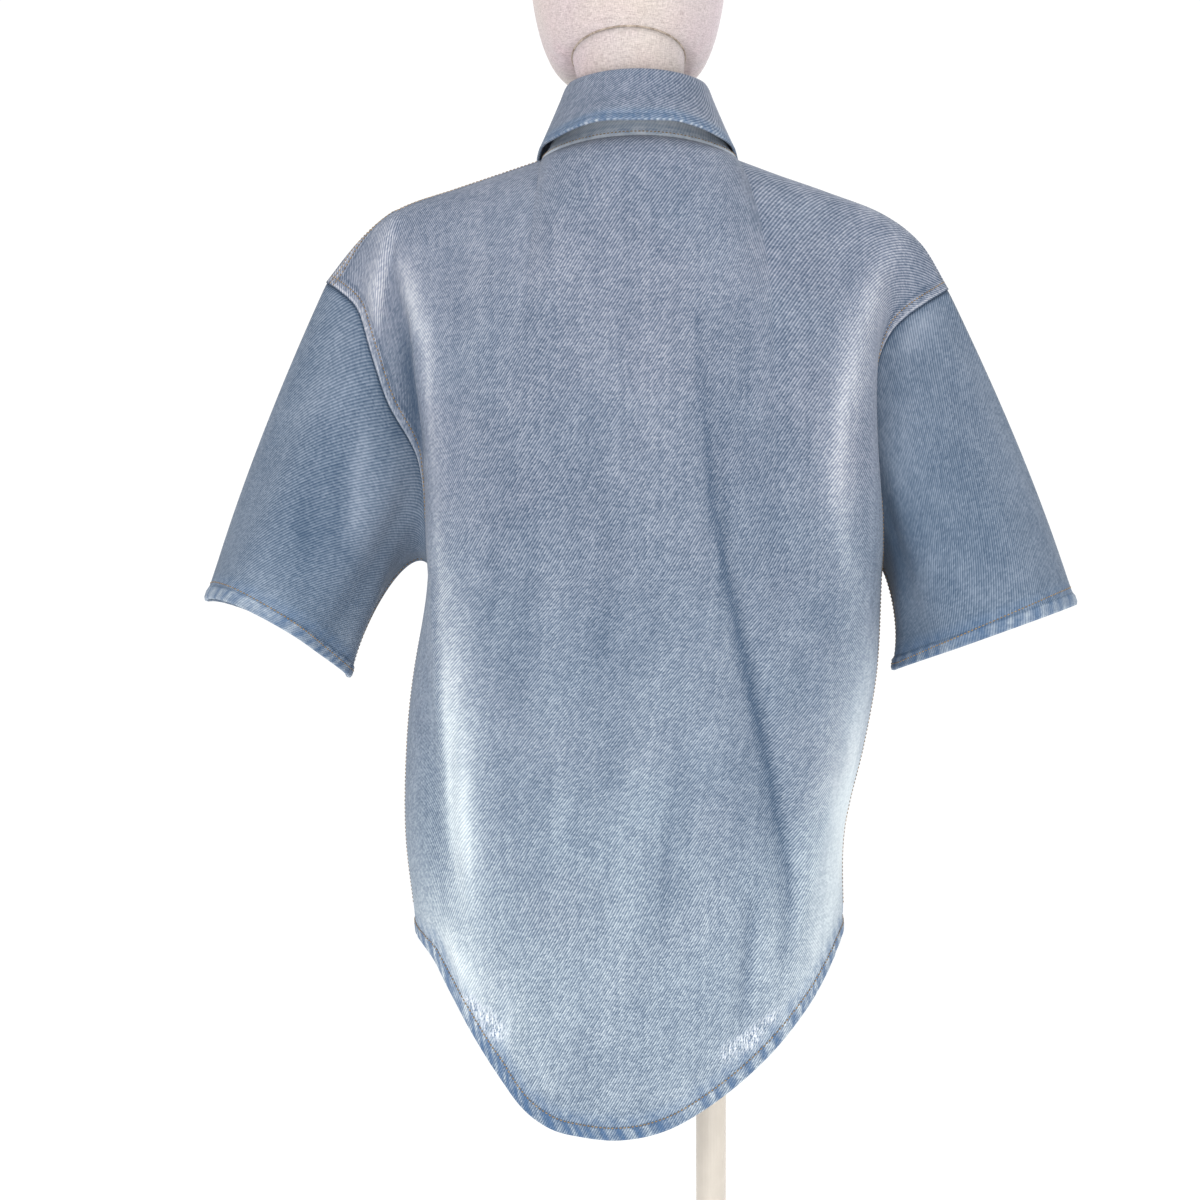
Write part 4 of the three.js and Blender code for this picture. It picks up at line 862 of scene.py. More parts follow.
grids["sleeve_left"], rises["sleeve_left"] = sleeve_grid(
    SLEEVES["left"], armholes["left", "back"], armholes["left", "front"], True)
grids["sleeve_right"], rises["sleeve_right"] = sleeve_grid(
    SLEEVES["right"], armholes["right", "back"], armholes["right", "front"], False)

# The collar stand is a band sewn round the neckline, whose ends meet under the top button.
FOLD = dict(x=1, y=11, half=53.5, back=63, front=62, z_side=1511, z_back=1516, z_front=1448)
STAND_HOLLOW = 2.5
STAND_ROWS = 18


def away(degrees):
    angle = np.radians(degrees)
    return np.stack([np.sin(angle), np.cos(angle), np.zeros_like(angle)], axis=-1)


stand_angles = np.concatenate([
    between(range(FRONT_NECK_STEPS + 1), front_neck_angles, fine(FRONT_NECK_STEPS)[FINE:-1]),
    np.linspace(90, 270, BACK_NECK_STEPS * FINE + 1)[:-1],
    360 - between(range(FRONT_NECK_STEPS + 1), front_neck_angles, fine(FRONT_NECK_STEPS)[::-1]),
    np.linspace(360, 360 + placket_angle, FINE + 1)[1:],
])
foot, crest = neck_point(stand_angles), ring_point(FOLD, stand_angles)
grids["collar_stand"] = np.array([
    (foot + (crest - foot) * s - away(stand_angles) * (4 * s * (1 - s) * STAND_HOLLOW))[::-1]
    for s in np.linspace(0, 1, STAND_ROWS + 1)])
rises["collar_stand"] = np.zeros(grids["collar_stand"].shape[:2])

# Normals are shared where panels meet, so that seams close face to face.
WRAPS = {"sleeve_left": True, "sleeve_right": True}
shared = {}
for name, grid in grids.items():
    own = grid_normals(grid, WRAPS.get(name, False))
    for point, normal in zip(grid.reshape(-1, 3), own.reshape(-1, 3)):
        key = (round(point[0] * 4), round(point[1] * 4), round(point[2] * 4))
        shared[key] = shared.get(key, 0) + normal
normals = {}
for name, grid in grids.items():
    found = np.array([shared[(round(p[0] * 4), round(p[1] * 4), round(p[2] * 4))] for p in grid.reshape(-1, 3)])
    found /= np.linalg.norm(found, axis=1, keepdims=True)
    normals[name] = found.reshape(grid.shape)


def shell(name, grid, normals, outward, inward, material, wrap=False, values=None, grain=None):
    """Closed cloth shell round a grid: outer and inner skin with rims, a grain map and named values."""
    rows, columns = grid.shape[:2]
    outer = grid + normals * np.broadcast_to(outward, grid.shape[:2])[..., None]
    inner = grid - normals * np.broadcast_to(inward, grid.shape[:2])[..., None]
    points = np.concatenate([outer.reshape(-1, 3), inner.reshape(-1, 3)]) / 1000
    half = rows * columns
    spans = columns if wrap else columns - 1
    r, c = np.meshgrid(np.arange(rows - 1), np.arange(spans), indexing="ij")
    r, c = r.ravel(), c.ravel()
    d = (c + 1) % columns
    a, b, e, f = r * columns + c, r * columns + d, (r + 1) * columns + d, (r + 1) * columns + c
    faces = [np.stack([a, b, e, f], 1), np.stack([a + half, f + half, e + half, b + half], 1)]
    corner_rows = [np.stack([r, r, r + 1, r + 1], 1), np.stack([r, r + 1, r + 1, r], 1)]
    corner_columns = [np.stack([c, c + 1, c + 1, c], 1), np.stack([c, c, c + 1, c + 1], 1)]

    def rim(p, q, rows_at, columns_at):
        faces.append(np.stack([p, p + half, q + half, q], 1))
        corner_rows.append(np.stack([rows_at[0], rows_at[0], rows_at[1], rows_at[1]], 1))
        corner_columns.append(np.stack([columns_at[0], columns_at[0], columns_at[1], columns_at[1]], 1))

    c = np.arange(spans)
    d = (c + 1) % columns
    low, high = np.zeros_like(c), np.full_like(c, rows - 1)
    rim(c, d, (low, low), (c, c + 1))
    rim(high * columns + d, high * columns + c, (high, high), (c + 1, c))
    if not wrap:
        r = np.arange(rows - 1)
        first, last = np.zeros_like(r), np.full_like(r, columns - 1)
        rim((r + 1) * columns, r * columns, (r + 1, r), (first, first))
        rim(r * columns + columns - 1, (r + 1) * columns + columns - 1, (r, r + 1), (last, last))
    faces = np.concatenate(faces).astype(np.int32)
    corner_rows, corner_columns = np.concatenate(corner_rows), np.concatenate(corner_columns)

    data = bpy.data.meshes.new(name)
    data.vertices.add(len(points))
    data.vertices.foreach_set("co", points.astype(np.float32).ravel())
    data.loops.add(faces.size)
    data.loops.foreach_set("vertex_index", faces.ravel())
    data.polygons.add(len(faces))
    data.polygons.foreach_set("loop_start", np.arange(0, faces.size, 4, dtype=np.int32))
    data.polygons.foreach_set("loop_total", np.full(len(faces), 4, dtype=np.int32))
    data.polygons.foreach_set("use_smooth", np.ones(len(faces), dtype=bool))
    data.update(calc_edges=True)
    if grain is None:
        step = np.linalg.norm(np.diff(grid, axis=1, append=grid[:, :1] if wrap else grid[:, -1:]), axis=-1)
        middle = step[rows // 2]
        across = np.concatenate([[0], np.cumsum(middle)])[:columns + 1]
        rise = np.concatenate([[0], np.cumsum(np.linalg.norm(np.diff(grid, axis=0), axis=-1).mean(axis=1))])
        grain = (np.broadcast_to(across[None], (rows, len(across))), np.broadcast_to(rise[:, None], (rows, len(across))))
    limit = grain[0].shape[1] - 1
    at = np.minimum(corner_columns, limit)
    uv = np.stack([grain[0][corner_rows, at], grain[1][corner_rows, at]], axis=-1) / 1000
    data.uv_layers.new(name="grain").data.foreach_set("uv", uv.astype(np.float32).ravel())
    for key, field in (values or {}).items():
        field = np.broadcast_to(field, grid.shape[:2]).astype(np.float32).ravel()
        data.attributes.new(key, "FLOAT", "POINT").data.foreach_set("value", np.concatenate([field, field]))
    data.materials.append(material)
    data.validate()
    piece = bpy.data.objects.new(name, data)
    bpy.context.collection.objects.link(piece)
    return piece


def panel_grain(grid):
    """Straight grain of a body panel: width across it, and height or the length above the underarm."""
    rows, columns = grid.shape[:2]
    across = np.linalg.norm(np.diff(grid[BAND_ROWS + DOWN_ROWS], axis=0), axis=-1)
    u = np.concatenate([[0], np.cumsum(across)])
    v = grid[..., 2].copy()
    start = BAND_ROWS + DOWN_ROWS
    climb = np.linalg.norm(np.diff(grid[start:], axis=0), axis=-1).mean(axis=1)
    v[start:] = UNDERARM + np.concatenate([[0], np.cumsum(climb)])[:, None]
    return np.broadcast_to(u[None], (rows, columns)), v


def seam_band(distance, width=9.0):
    """Three layers of a felled seam: a raised band along an edge."""
    return 1 - smoothstep(distance, width - 1.2, width + 0.8)


# Fades placed as the folds are, with painted shading among them: painted shade down fold troughs and the sleeves' inner
# sides, painted light along body edges that turn away. Places along the line, width on each side, and how much paler.
RIDGE_FADE = 0.008
BACK_WASH_AND_SHADING = (
    (-156, 1090, -152, 1000, -147, 905, -138, 835, 4, 22, 0.42), (-166, 860, -142, 790, -106, 722, 22, 26, 0.34),
    (-138, 985, -137, 920, -132, 840, 3, 4, 0.12), (-178, 1070, -178, 960, -174, 870, 12, 9, -0.01),
    (192, 1060, 176, 960, 167, 880, 154, 815, 22, 12, 0.54), (154, 835, 134, 778, 98, 716, 16, 20, 0.20),
    (206, 1374, 178, 1305, 164, 1240, 162, 1150, 176, 1100, 12, 13, 0.26),
    (-197, 1402, -207, 1343, -211, 1300, 13, 3, 0.22), (-192, 1370, -181, 1328, -171, 1290, 4, 9, 0.27),
    (-171, 1317, -167, 1252, -163, 1200, 3, 5, 0.22), (-186, 1305, -181, 1258, -173, 1210, 9, 6, -0.26),
    (-163, 1200, -158, 1120, -154, 1080, 3, 5, 0.18),
    (48, 1317, 59, 1170, 81, 1063, 105, 952, 122, 867, 118, 801, 5, 4, -0.24),
    (60, 1260, 72, 1150, 96, 1050, 3, 40, -0.06), (44, 1300, 54, 1170, 76, 1063, 98, 952, 20, 3, 0.05),
    (93, 850, 83, 747, 6, 4, -0.12), (100, 860, 92, 750, 3, 18, 0.08), (-38, 1265, -38, 1186, 5, 8, -0.05),
    (12, 1024, 0, 900, -13, 786, 14, 10, 0.06), (34, 980, 24, 880, 10, 770, 5, 9, -0.06),
    (-149, 823, -133, 771, 3, 5, 0.10), (-100, 779, -105, 723, 3, 5, 0.14), (-80, 727, -67, 693, 3, 4, 0.14),
    (-112, 770, -116, 735, 6, 4, -0.08), (-60, 690, 10, 672, 80, 712, 30, 22, 0.08),
    (-30, 1290, 0, 1250, 20, 1200, 50, 50, 0.03), (-110, 1190, -90, 1130, -70, 1080, 40, 30, -0.03),
)
FRONT_WASH_AND_SHADING = (
    (-130, 1010, -128, 900, -112, 800, 16, 16, 0.26), (128, 1010, 130, 900, 116, 800, 16, 16, 0.26),
    (-156, 1350, -146, 1270, -140, 1180, 14, 12, 0.14), (158, 1350, 150, 1270, 146, 1180, 14, 12, 0.14),
    (-60, 745, 0, 735, 60, 745, 40, 40, 0.08), (-50, 1250, -60, 1200, -66, 1130, 20, 20, 0.05),
    (-60, 1120, -70, 960, -72, 780, 5, 5, -0.12), (58, 1100, 66, 950, 74, 770, 5, 5, -0.12),
    (-130, 1300, -120, 1210, -124, 1120, 5, 4, -0.10), (132, 1290, 126, 1200, 130, 1110, 4, 5, -0.10),
    (-186, 1060, -186, 960, -176, 870, 12, 12, 0.10), (190, 1060, 184, 960, 168, 870, 12, 12, 0.12),
)
SLEEVE_WASH_AND_SHADING = (
    (-222, 1245, -226, 1190, -230, 1130, 4, 9, 0.12), (-262, 1210, -268, 1160, -262, 1112, 20, 18, -0.10),
    (-238, 1230, -242, 1180, -246, 1130, 5, 5, -0.07), (-200, 1200, -208, 1140, -224, 1080, 8, 10, 0.05),
    (-236, 1078, -236, 1062, -238, 1044, 10, 10, 0.14), (-330, 1120, -300, 1095, -262, 1066, 14, 14, 0.04),
    (-230, 1325, -255, 1270, -290, 1200, 14, 20, 0.06), (-186, 1215, -192, 1165, -200, 1120, 16, 14, 0.12),
    (252, 1336, 232, 1316, 214, 1288, 10, 14, 0.20), (256, 1250, 266, 1200, 290, 1130, 20, 22, -0.04),
    (208, 1180, 208, 1130, 212, 1085, 8, 18, -0.16), (240, 1130, 232, 1100, 226, 1068, 8, 8, 0.08),
    (330, 1130, 296, 1100, 240, 1072, 12, 16, 0.05), (276, 1300, 300, 1220, 330, 1130, 14, 10, 0.05),
    (222, 1260, 214, 1200, 212, 1150, 7, 10, 0.06),
)
# Tone by height over the body: partly its wash, partly painted light and shade for how the studio lights each height.
BODY_LEVELS = ((680, 700, 790, 960, 1160, 1330, 1450), (-0.12, -0.065, -0.035, -0.15, -0.20, -0.18, -0.195))
BACK_FRAYS = ((-134, 772, -110, 744, 5, 4), (-120, 757, -112, 746, 7, 8), (86, 741, 110, 758, 4, 4),
              (72, 731, 92, 740, 7, 6))
ROPE_PITCH = 15.5
SHOULDER_LAP = 4.0    # the shoulder seam is felled this far below the ridge


def placed_wash_and_shading(points, table):
    total = np.zeros(points.shape[:-1])
    for *places, left, right, lift in table:
        distance, along = bent_line(points, *places)
        width = np.where(distance > 0, left, right)
        total += lift * np.sin(math.pi * (0.06 + 0.88 * along)) ** 0.8 * np.exp(-np.abs(distance / width) ** 1.6)
    return total


def placed_frays(points):
    total = np.zeros(points.shape[:-1])
    for *places, left, right in BACK_FRAYS:
        distance, _ = bent_line(points, *places)
        total = np.maximum(total, np.exp(-np.abs(distance / np.where(distance > 0, left, right)) ** 3))
    return total * (points[..., 1] < 0)


def rope_wave(along, inward):
    """Where a roped edge stands up, 0 to 1, from the length along it and the distance in from it."""
    s = along + 0.55 * inward
    turns = s / ROPE_PITCH + 0.8 * np.sin(s / 41) + 0.45 * np.sin(s / 17.3 + 1.1) + 0.2 * np.sin(s / 9.1)
    wave = (0.5 + 0.5 * np.sin(2 * math.pi * turns)) ** 0.6
    ripple = 0.14 * np.sin(2 * math.pi * s / 6.7 + 2 * np.sin(s / 29)) + 0.12 * np.sin(s / 73 + 2)
    return np.clip(0.06 + 0.82 * wave + ripple, 0, 1)


def edge_length(line):
    return np.concatenate([[0], np.cumsum(np.linalg.norm(np.diff(line, axis=0), axis=-1))])


def hem_swell(hem, rope):
    """Two layers thicker in the band, rounded at its edge, and puckered on both sides of the stitches."""
    band = smoothstep(hem, -1, 2.5) * (1 - smoothstep(hem, HEM_BAND - 1.6, HEM_BAND + 0.4))
    halo = smoothstep(hem, HEM_BAND, HEM_BAND + 3) * np.exp(-np.maximum(hem - HEM_BAND, 0) / 9)
    return band * (0.7 + 0.9 * rope) + halo * 0.9 * (rope - 0.6)


# The sleeves' cloth is set darker: partly their wash, partly painted shade where they face sideways and down.
denim_sleeve = denim_material("denim_sleeve", -0.265, 0.42, 0.4)
pieces, outers = {}, {}
for name in ("back", "front_right", "front_left"):
    grid = grids[name]
    left, right, top = panel_distances(grid)
    slope = np.gradient(grid[0, :, 2]) / np.linalg.norm(np.gradient(grid[0], axis=0)[:, :2], axis=-1)
    hem = (grid[..., 2] - grid[0, :, 2]) / np.hypot(1, slope)
    rope = rope_wave(edge_length(grid[0])[None], hem)
    shoulder = np.abs(top - SHOULDER_LAP) + 50 * (np.arange(grid.shape[1]) > SHOULDER_STEPS * FINE)
    edges = {"back": (left, right, shoulder), "front_right": (left, shoulder), "front_left": (right, right)}[name]
    seam = np.minimum.reduce(edges)
    seam[: BAND_ROWS + 1] = 50
    out = WALL / 2 + 0.9 * seam_band(seam) + hem_swell(hem, rope)
    wash_and_shading = (placed_wash_and_shading(grid, BACK_WASH_AND_SHADING if name == "back" else FRONT_WASH_AND_SHADING) + rises[name] * RIDGE_FADE
            + np.interp(grid[..., 2], *BODY_LEVELS))
    frays = placed_frays(grid) if name == "back" else np.zeros(hem.shape)
    outers[name] = grid + normals[name] * out[..., None]
    pieces[name] = shell(name + "_cloth", grid, normals[name], out, WALL / 2, denim, grain=panel_grain(grid),
                         values={"wear_and_shading": wash_and_shading, "hem": hem / 1000, "seam": seam / 1000, "rope": rope, "fray": frays})
for name in ("sleeve_left", "sleeve_right"):
    grid = grids[name]
    top = np.linalg.norm(grid - grid[:1], axis=-1)
    hem = np.linalg.norm(grid - grid[-1:], axis=-1)
    rope = 0.46 + 0.54 * rope_wave(edge_length(grid[-1])[None], hem)
    out = WALL / 2 + hem_swell(hem, rope) - 0.3 * (1 - smoothstep(top, 0, 6))
    # Painted shadow: a dark line along the armhole seam on the sleeve's side; the hem band is set paler from wear.
    wash_and_shading = (placed_wash_and_shading(grid, SLEEVE_WASH_AND_SHADING) + rises[name] * RIDGE_FADE - 0.24 * np.exp(-top / 2.5)
            + 0.14 * (1 - smoothstep(hem, 9, 12)))
    outers[name] = grid + normals[name] * out[..., None]
    pieces[name] = shell(name + "_cloth", grid, normals[name], out, WALL / 2, denim_sleeve, wrap=True,
                         values={"wear_and_shading": wash_and_shading, "hem": hem / 1000, "seam": 0.05, "rope": rope, "fray": 0.0})
stand = grids["collar_stand"]
stand_foot = np.linalg.norm(stand - stand[:1], axis=-1)
# Painted light on the stand, against the leaf's shade: its strip is lifted paler towards the back, and its hem value
# and faint roping keep the shaded strip blue; its seam value gives the rubbed pale foot.
stand_rope = 0.3 * rope_wave(edge_length(stand[0])[None], 0 * stand_foot)
stand_painted_light = -0.12 + 0.60 * np.clip((30 - stand[..., 1]) / 50, 0, 1)
stand_out = 1.0 + 0.9 * (1 - smoothstep(stand_foot, 4.5, 7.0))
outers["collar_stand"] = stand + normals["collar_stand"] * stand_out[..., None]
pieces["collar_stand"] = shell("collar_stand_cloth", stand, normals["collar_stand"], stand_out, 1.0, denim,
                               values={"wear_and_shading": stand_painted_light, "hem": (0.3 * stand_foot + 11.6) / 1000, "rope": stand_rope,
                                       "seam": (stand_foot + 0.9) / 1000, "fray": 0.0})


# ---------------------------------------------------------------- collar leaf
# Two layers of denim turned out at their edges, folded over the stand and falling to two points.

LEAF_EDGE = {
    "angle": (11, 30, 55, 90, 130, 160, 180, 200, 230, 270, 305, 330, 349),
    "x": (34, 64, 84, 83, 70, 36, 1, -34, -67, -80, -79, -60, -31),
    "y": (106, 101, 62, 8, -48, -77, -81, -77, -48, 8, 62, 101, 106),
    "z": (1382, 1388, 1438, 1458, 1466, 1476, 1477, 1476, 1466, 1460, 1438, 1388, 1382),
}
LEAF_OPEN_ANGLE = 11
LEAF_ROLL, LEAF_CREST, LEAF_BELLY, LEAF_WALL = 2.3, 2.6, 3, 2.2
LEAF_FALL = (0.22, 0.48, 0.76, 1)
LEAF_ANGLES, LEAF_ACROSS = 320, 34

leaf = []
for angle in np.linspace(LEAF_OPEN_ANGLE, 360 - LEAF_OPEN_ANGLE, LEAF_ANGLES + 1):
    out = away(angle)
    crest = ring_point(FOLD, angle)
    line = [crest + out * step + np.array([0, 0, up]) for step, up in (
        (0, 0.4 + 1.0), (0, LEAF_CREST), (LEAF_ROLL, LEAF_CREST + LEAF_ROLL), (2 * LEAF_ROLL, LEAF_CREST))]
    edge = np.array([float(column(LEAF_EDGE, "angle", k, angle)) for k in "xyz"])
    start = line[-1]
    for fall in LEAF_FALL:
        line.append(start + (edge - start) * fall + out * (LEAF_BELLY * math.sin(math.pi * fall) * out[1]))
    leaf.append(at_shares(smooth_line(line, 12), np.linspace(0, 1, LEAF_ACROSS + 1)))
leaf = np.array(leaf)
leaf_normals = grid_normals(leaf)
leaf_edge = np.minimum.reduce([np.linalg.norm(leaf - leaf[:, -1:], axis=-1),
                               np.linalg.norm(leaf - leaf[:1], axis=-1), np.linalg.norm(leaf - leaf[-1:], axis=-1)])
LEAF_ROW = 6.0       # the stitch row's distance from the edge
leaf_rope = 0.46 + 0.32 * rope_wave(1.7 * edge_length(leaf[:, -1])[:, None], 0 * leaf_edge)
leaf_patch = np.exp(-(np.linalg.norm(leaf - np.array((-42, -78, 1479)), axis=-1) / 6) ** 4)
leaf_wear = -0.24 + 0.3 * leaf_patch + 0.16 * np.exp(-leaf_edge / 1.5)
leaf_out = (LEAF_WALL / 2 + (leaf_rope - 0.5) * 0.6 * (1 - smoothstep(leaf_edge, 4, LEAF_ROW))
            - 0.35 * np.exp(-((leaf_edge - LEAF_ROW) / 1.2) ** 2))
outers["collar_leaf"] = leaf + leaf_normals * leaf_out[..., None]
pieces["collar_leaf"] = shell("collar_leaf_cloth", leaf, leaf_normals, leaf_out, LEAF_WALL / 2, denim,
                              values={"wear_and_shading": leaf_wear, "hem": leaf_edge / LEAF_ROW * HEM_BAND / 1000,
                                      "seam": 0.05, "rope": leaf_rope, "fray": leaf_patch})


# ---------------------------------------------------------------- placket and buttons
# A strip of denim folded round the left front's edge and topstitched along both sides.
# Seven pearly buttons, each sewn through four holes, stay done up.

PLACKET_WALL, LAYER_GAP = 1.8, 0.4
strip = np.concatenate([grids["front_right"][:, -FINE - 1:], grids["front_left"][:, 1:FINE + 1]], axis=1)
strip_normals = np.concatenate([normals["front_right"][:, -FINE - 1:], normals["front_left"][:, 1:FINE + 1]], axis=1)
strip_edge = np.minimum(np.linalg.norm(strip - strip[:, :1], axis=-1), np.linalg.norm(strip - strip[:, -1:], axis=-1))
lift = WALL / 2 + LAYER_GAP + np.where(np.arange(strip.shape[0])[:, None] <= BAND_ROWS + 3, 1.4, 0)
lift = np.broadcast_to(lift, strip.shape[:2])
outers["placket"] = strip + strip_normals * (lift + PLACKET_WALL)[..., None]
pieces["placket"] = shell("placket_cloth", strip, strip_normals, lift + PLACKET_WALL, -lift, denim,
                          values={"wear_and_shading": np.interp(strip[..., 2], *BODY_LEVELS), "hem": 0.05, "rope": 0.5,
                                  "seam": (strip_edge + 2.6) / 1000, "fray": 0.0}, grain=panel_grain(strip))

for name, piece in pieces.items():
    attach(piece, "root")
    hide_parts(name)

# ---------------------------------------------------------------- topstitching
# Rows of tan core-spun thread, a stitch every 3.2 mm, sunk into the cloth along seams, hems and edges.
# Felled seams carry two rows, the hems, placket and collar one.

thread, nodes, links, shader = new_material("tan_thread")
place = add_node(nodes, "ShaderNodeTexCoord")
ply = add_node(nodes, "ShaderNodeTexNoise", Scale=420.0, Detail=3.0, Roughness=0.6)
links.new(place.outputs["Object"], ply.inputs["Vector"])
thread_tone = add_node(nodes, "ShaderNodeValToRGB")
thread_tone.color_ramp.elements[0].position = 0.3
thread_tone.color_ramp.elements[0].color = shade_of(112, 92, 68, STUDIO_LIGHT)
thread_tone.color_ramp.elements[1].position = 0.7
thread_tone.color_ramp.elements[1].color = shade_of(184, 156, 116, STUDIO_LIGHT)
links.new(ply.outputs["Fac"], thread_tone.inputs["Fac"])
links.new(thread_tone.outputs["Color"], shader.inputs["Base Color"])
twist = add_node(nodes, "ShaderNodeBump", Strength=0.5, Distance=0.0003)
links.new(ply.outputs["Fac"], twist.inputs["Height"])
links.new(twist.outputs["Normal"], shader.inputs["Normal"])
shader.inputs["Roughness"].default_value = 0.7

STITCH_PITCH, STITCH_LENGTH, STITCH_WIDTH, STITCH_HEIGHT = 3.2, 2.6, 1.35, 0.6


def resampled(line, normals, pitch):
    lengths = np.concatenate([[0], np.cumsum(np.linalg.norm(np.diff(line, axis=0), axis=1))])
    count = int(lengths[-1] // pitch)
    at = (np.arange(count) + 0.5) * lengths[-1] / count
    place = np.stack([np.interp(at, lengths, line[:, k]) for k in range(3)], axis=-1)
    up = np.stack([np.interp(at, lengths, normals[:, k]) for k in range(3)], axis=-1)
    ahead = np.stack([np.interp(at + 0.5, lengths, line[:, k]) - np.interp(at - 0.5, lengths, line[:, k])
                      for k in range(3)], axis=-1)
    return place, up / np.linalg.norm(up, axis=1, keepdims=True), ahead / np.linalg.norm(ahead, axis=1, keepdims=True)


def stitches(name, rows):
    """One piece of all the stitches along the rows, each row a line on the cloth with its normals."""
    points, faces = [], []
    for line, up in rows:
        place, up, ahead = resampled(np.asarray(line), np.asarray(up), STITCH_PITCH)
        side = np.cross(ahead, up)
        for p, u, a, w in zip(place, up, ahead, side):
            start = len(points)
            points.append(p - a * STITCH_LENGTH / 2 - u * 0.15)
            for share, swell in ((-0.24, 0.9), (0.24, 0.9)):
                middle = p + a * STITCH_LENGTH * share
                points.append(middle - w * STITCH_WIDTH / 2 * swell - u * 0.1)
                points.append(middle + u * STITCH_HEIGHT)
                points.append(middle + w * STITCH_WIDTH / 2 * swell - u * 0.1)
            points.append(p + a * STITCH_LENGTH / 2 - u * 0.15)
            s0 = start
            faces += [(s0, s0 + 2, s0 + 1), (s0, s0 + 3, s0 + 2), (s0, s0 + 1, s0 + 3),
                      (s0 + 1, s0 + 2, s0 + 5, s0 + 4), (s0 + 2, s0 + 3, s0 + 6, s0 + 5),
                      (s0 + 3, s0 + 1, s0 + 4, s0 + 6),
                      (s0 + 7, s0 + 4, s0 + 5), (s0 + 7, s0 + 5, s0 + 6), (s0 + 7, s0 + 6, s0 + 4)]
    piece = mesh_piece(name, np.array(points) / 1000, faces, thread)
    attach(piece, "root")
    return piece


def inset(name, axis, end, distance, span=slice(None)):
    """A row of stitches at a distance from an edge: axis 0 walks up or down, axis 1 across."""
    points, up = outers[name], all_normals[name]
    if axis == 1:
        points, up = points.swapaxes(0, 1), up.swapaxes(0, 1)
    if end:
        points, up = points[::-1], up[::-1]
    points, up = points[:, span], up[:, span]
    lengths = np.concatenate([np.zeros((1, points.shape[1])),
                              np.cumsum(np.linalg.norm(np.diff(points, axis=0), axis=-1), axis=0)])
    line, normal = [], []
    for c in range(points.shape[1]):
        line.append([np.interp(distance, lengths[:, c], points[:, c, k]) for k in range(3)])
        normal.append([np.interp(distance, lengths[:, c], up[:, c, k]) for k in range(3)])
    return np.array(line), np.array(normal)


def hem_row(name, row):
    low = int(row)
    mix = row - low
    points, up = outers[name], all_normals[name]
    return (points[low] * (1 - mix) + points[low + 1] * mix, up[low] * (1 - mix) + up[low + 1] * mix)


all_normals = dict(normals, collar_leaf=leaf_normals, placket=strip_normals)
FELL_ROWS = (6.0, 11.5)
hem_stitch = BAND_ROWS - 0.35
above = slice(BAND_ROWS + 3, None)
left_shoulder = slice(0, SHOULDER_STEPS * FINE)
stitches("stitching_back", [
    hem_row("back", hem_stitch),
    inset("back", 1, False, 7.0, above), inset("back", 1, True, 7.0, above),
    *[inset("back", 0, True, d, left_shoulder) for d in FELL_ROWS],
])
for name, side in (("front_right", False), ("front_left", True)):
    rows = [hem_row(name, hem_stitch), inset(name, 1, side, 7.0, above)]
    if name == "front_right":
        rows += [inset(name, 0, True, d, left_shoulder) for d in FELL_ROWS]
    stitches("stitching_" + name, rows)
for name in ("sleeve_left", "sleeve_right"):
    points, up = outers[name], all_normals[name]
    row = SLEEVE_ROWS + 0.35
    low = int(row)
    closed = np.concatenate([points[low], points[low][:1]]), np.concatenate([up[low], up[low][:1]])
    under = points.shape[1] // 2
    stitches("stitching_" + name, [closed] + [(points[4:SLEEVE_ROWS, c], up[4:SLEEVE_ROWS, c])
                                              for c in (under - 3, under + 2)])
stitches("stitching_collar_leaf", [inset("collar_leaf", 1, True, 6.0)])
stitches("stitching_collar_stand", [inset("collar_stand", 0, False, 3.0)])
stitches("stitching_placket", [inset("placket", 1, False, 4.0), inset("placket", 1, True, 4.0)])


# ---------------------------------------------------------------- buttons
# Seven pearly buttons, turned with a raised rim and four holes, sewn on with two bars of thread.
# Each stays done up through a whipped buttonhole, upright on the placket and level on the stand.

pearl, nodes, links, shader = new_material("button_pearl")
place = add_node(nodes, "ShaderNodeTexCoord")
swirl = add_node(nodes, "ShaderNodeTexNoise", Scale=160.0, Detail=3.0, Distortion=2.0)
links.new(place.outputs["Object"], swirl.inputs["Vector"])
pearl_tone = add_node(nodes, "ShaderNodeValToRGB")
pearl_tone.color_ramp.elements[0].position = 0.3
pearl_tone.color_ramp.elements[0].color = (0.50, 0.44, 0.34, 1)
pearl_tone.color_ramp.elements[1].position = 0.7
pearl_tone.color_ramp.elements[1].color = (0.80, 0.76, 0.68, 1)
links.new(swirl.outputs["Fac"], pearl_tone.inputs["Fac"])
links.new(pearl_tone.outputs["Color"], shader.inputs["Base Color"])
shader.inputs["Roughness"].default_value = 0.25
shader.inputs["Coat Weight"].default_value = 0.4

BUTTON_RADIUS, BUTTON_THICK = 0.0075, 0.0026
BUTTON_RIM, BUTTON_DISH, BUTTON_ROUND = 0.0016, 0.0008, 0.0004
HOLE_RADIUS, HOLE_APART, BAR_RADIUS = 0.00085, 0.0030, 0.0004
BUTTONHOLE_LENGTH, BUTTONHOLE_WIDTH, WHIP_RADIUS = 19.5, 2.4, 0.75


def finished(piece, kind, **values):
    """Applies one modifier to a piece."""
    bpy.ops.object.select_all(action="DESELECT")
    piece.select_set(True)
    bpy.context.view_layer.objects.active = piece
    modifier = piece.modifiers.new(kind.lower(), kind)
    for key, value in values.items():
        setattr(modifier, key, value)
    bpy.ops.object.modifier_apply(modifier=modifier.name)


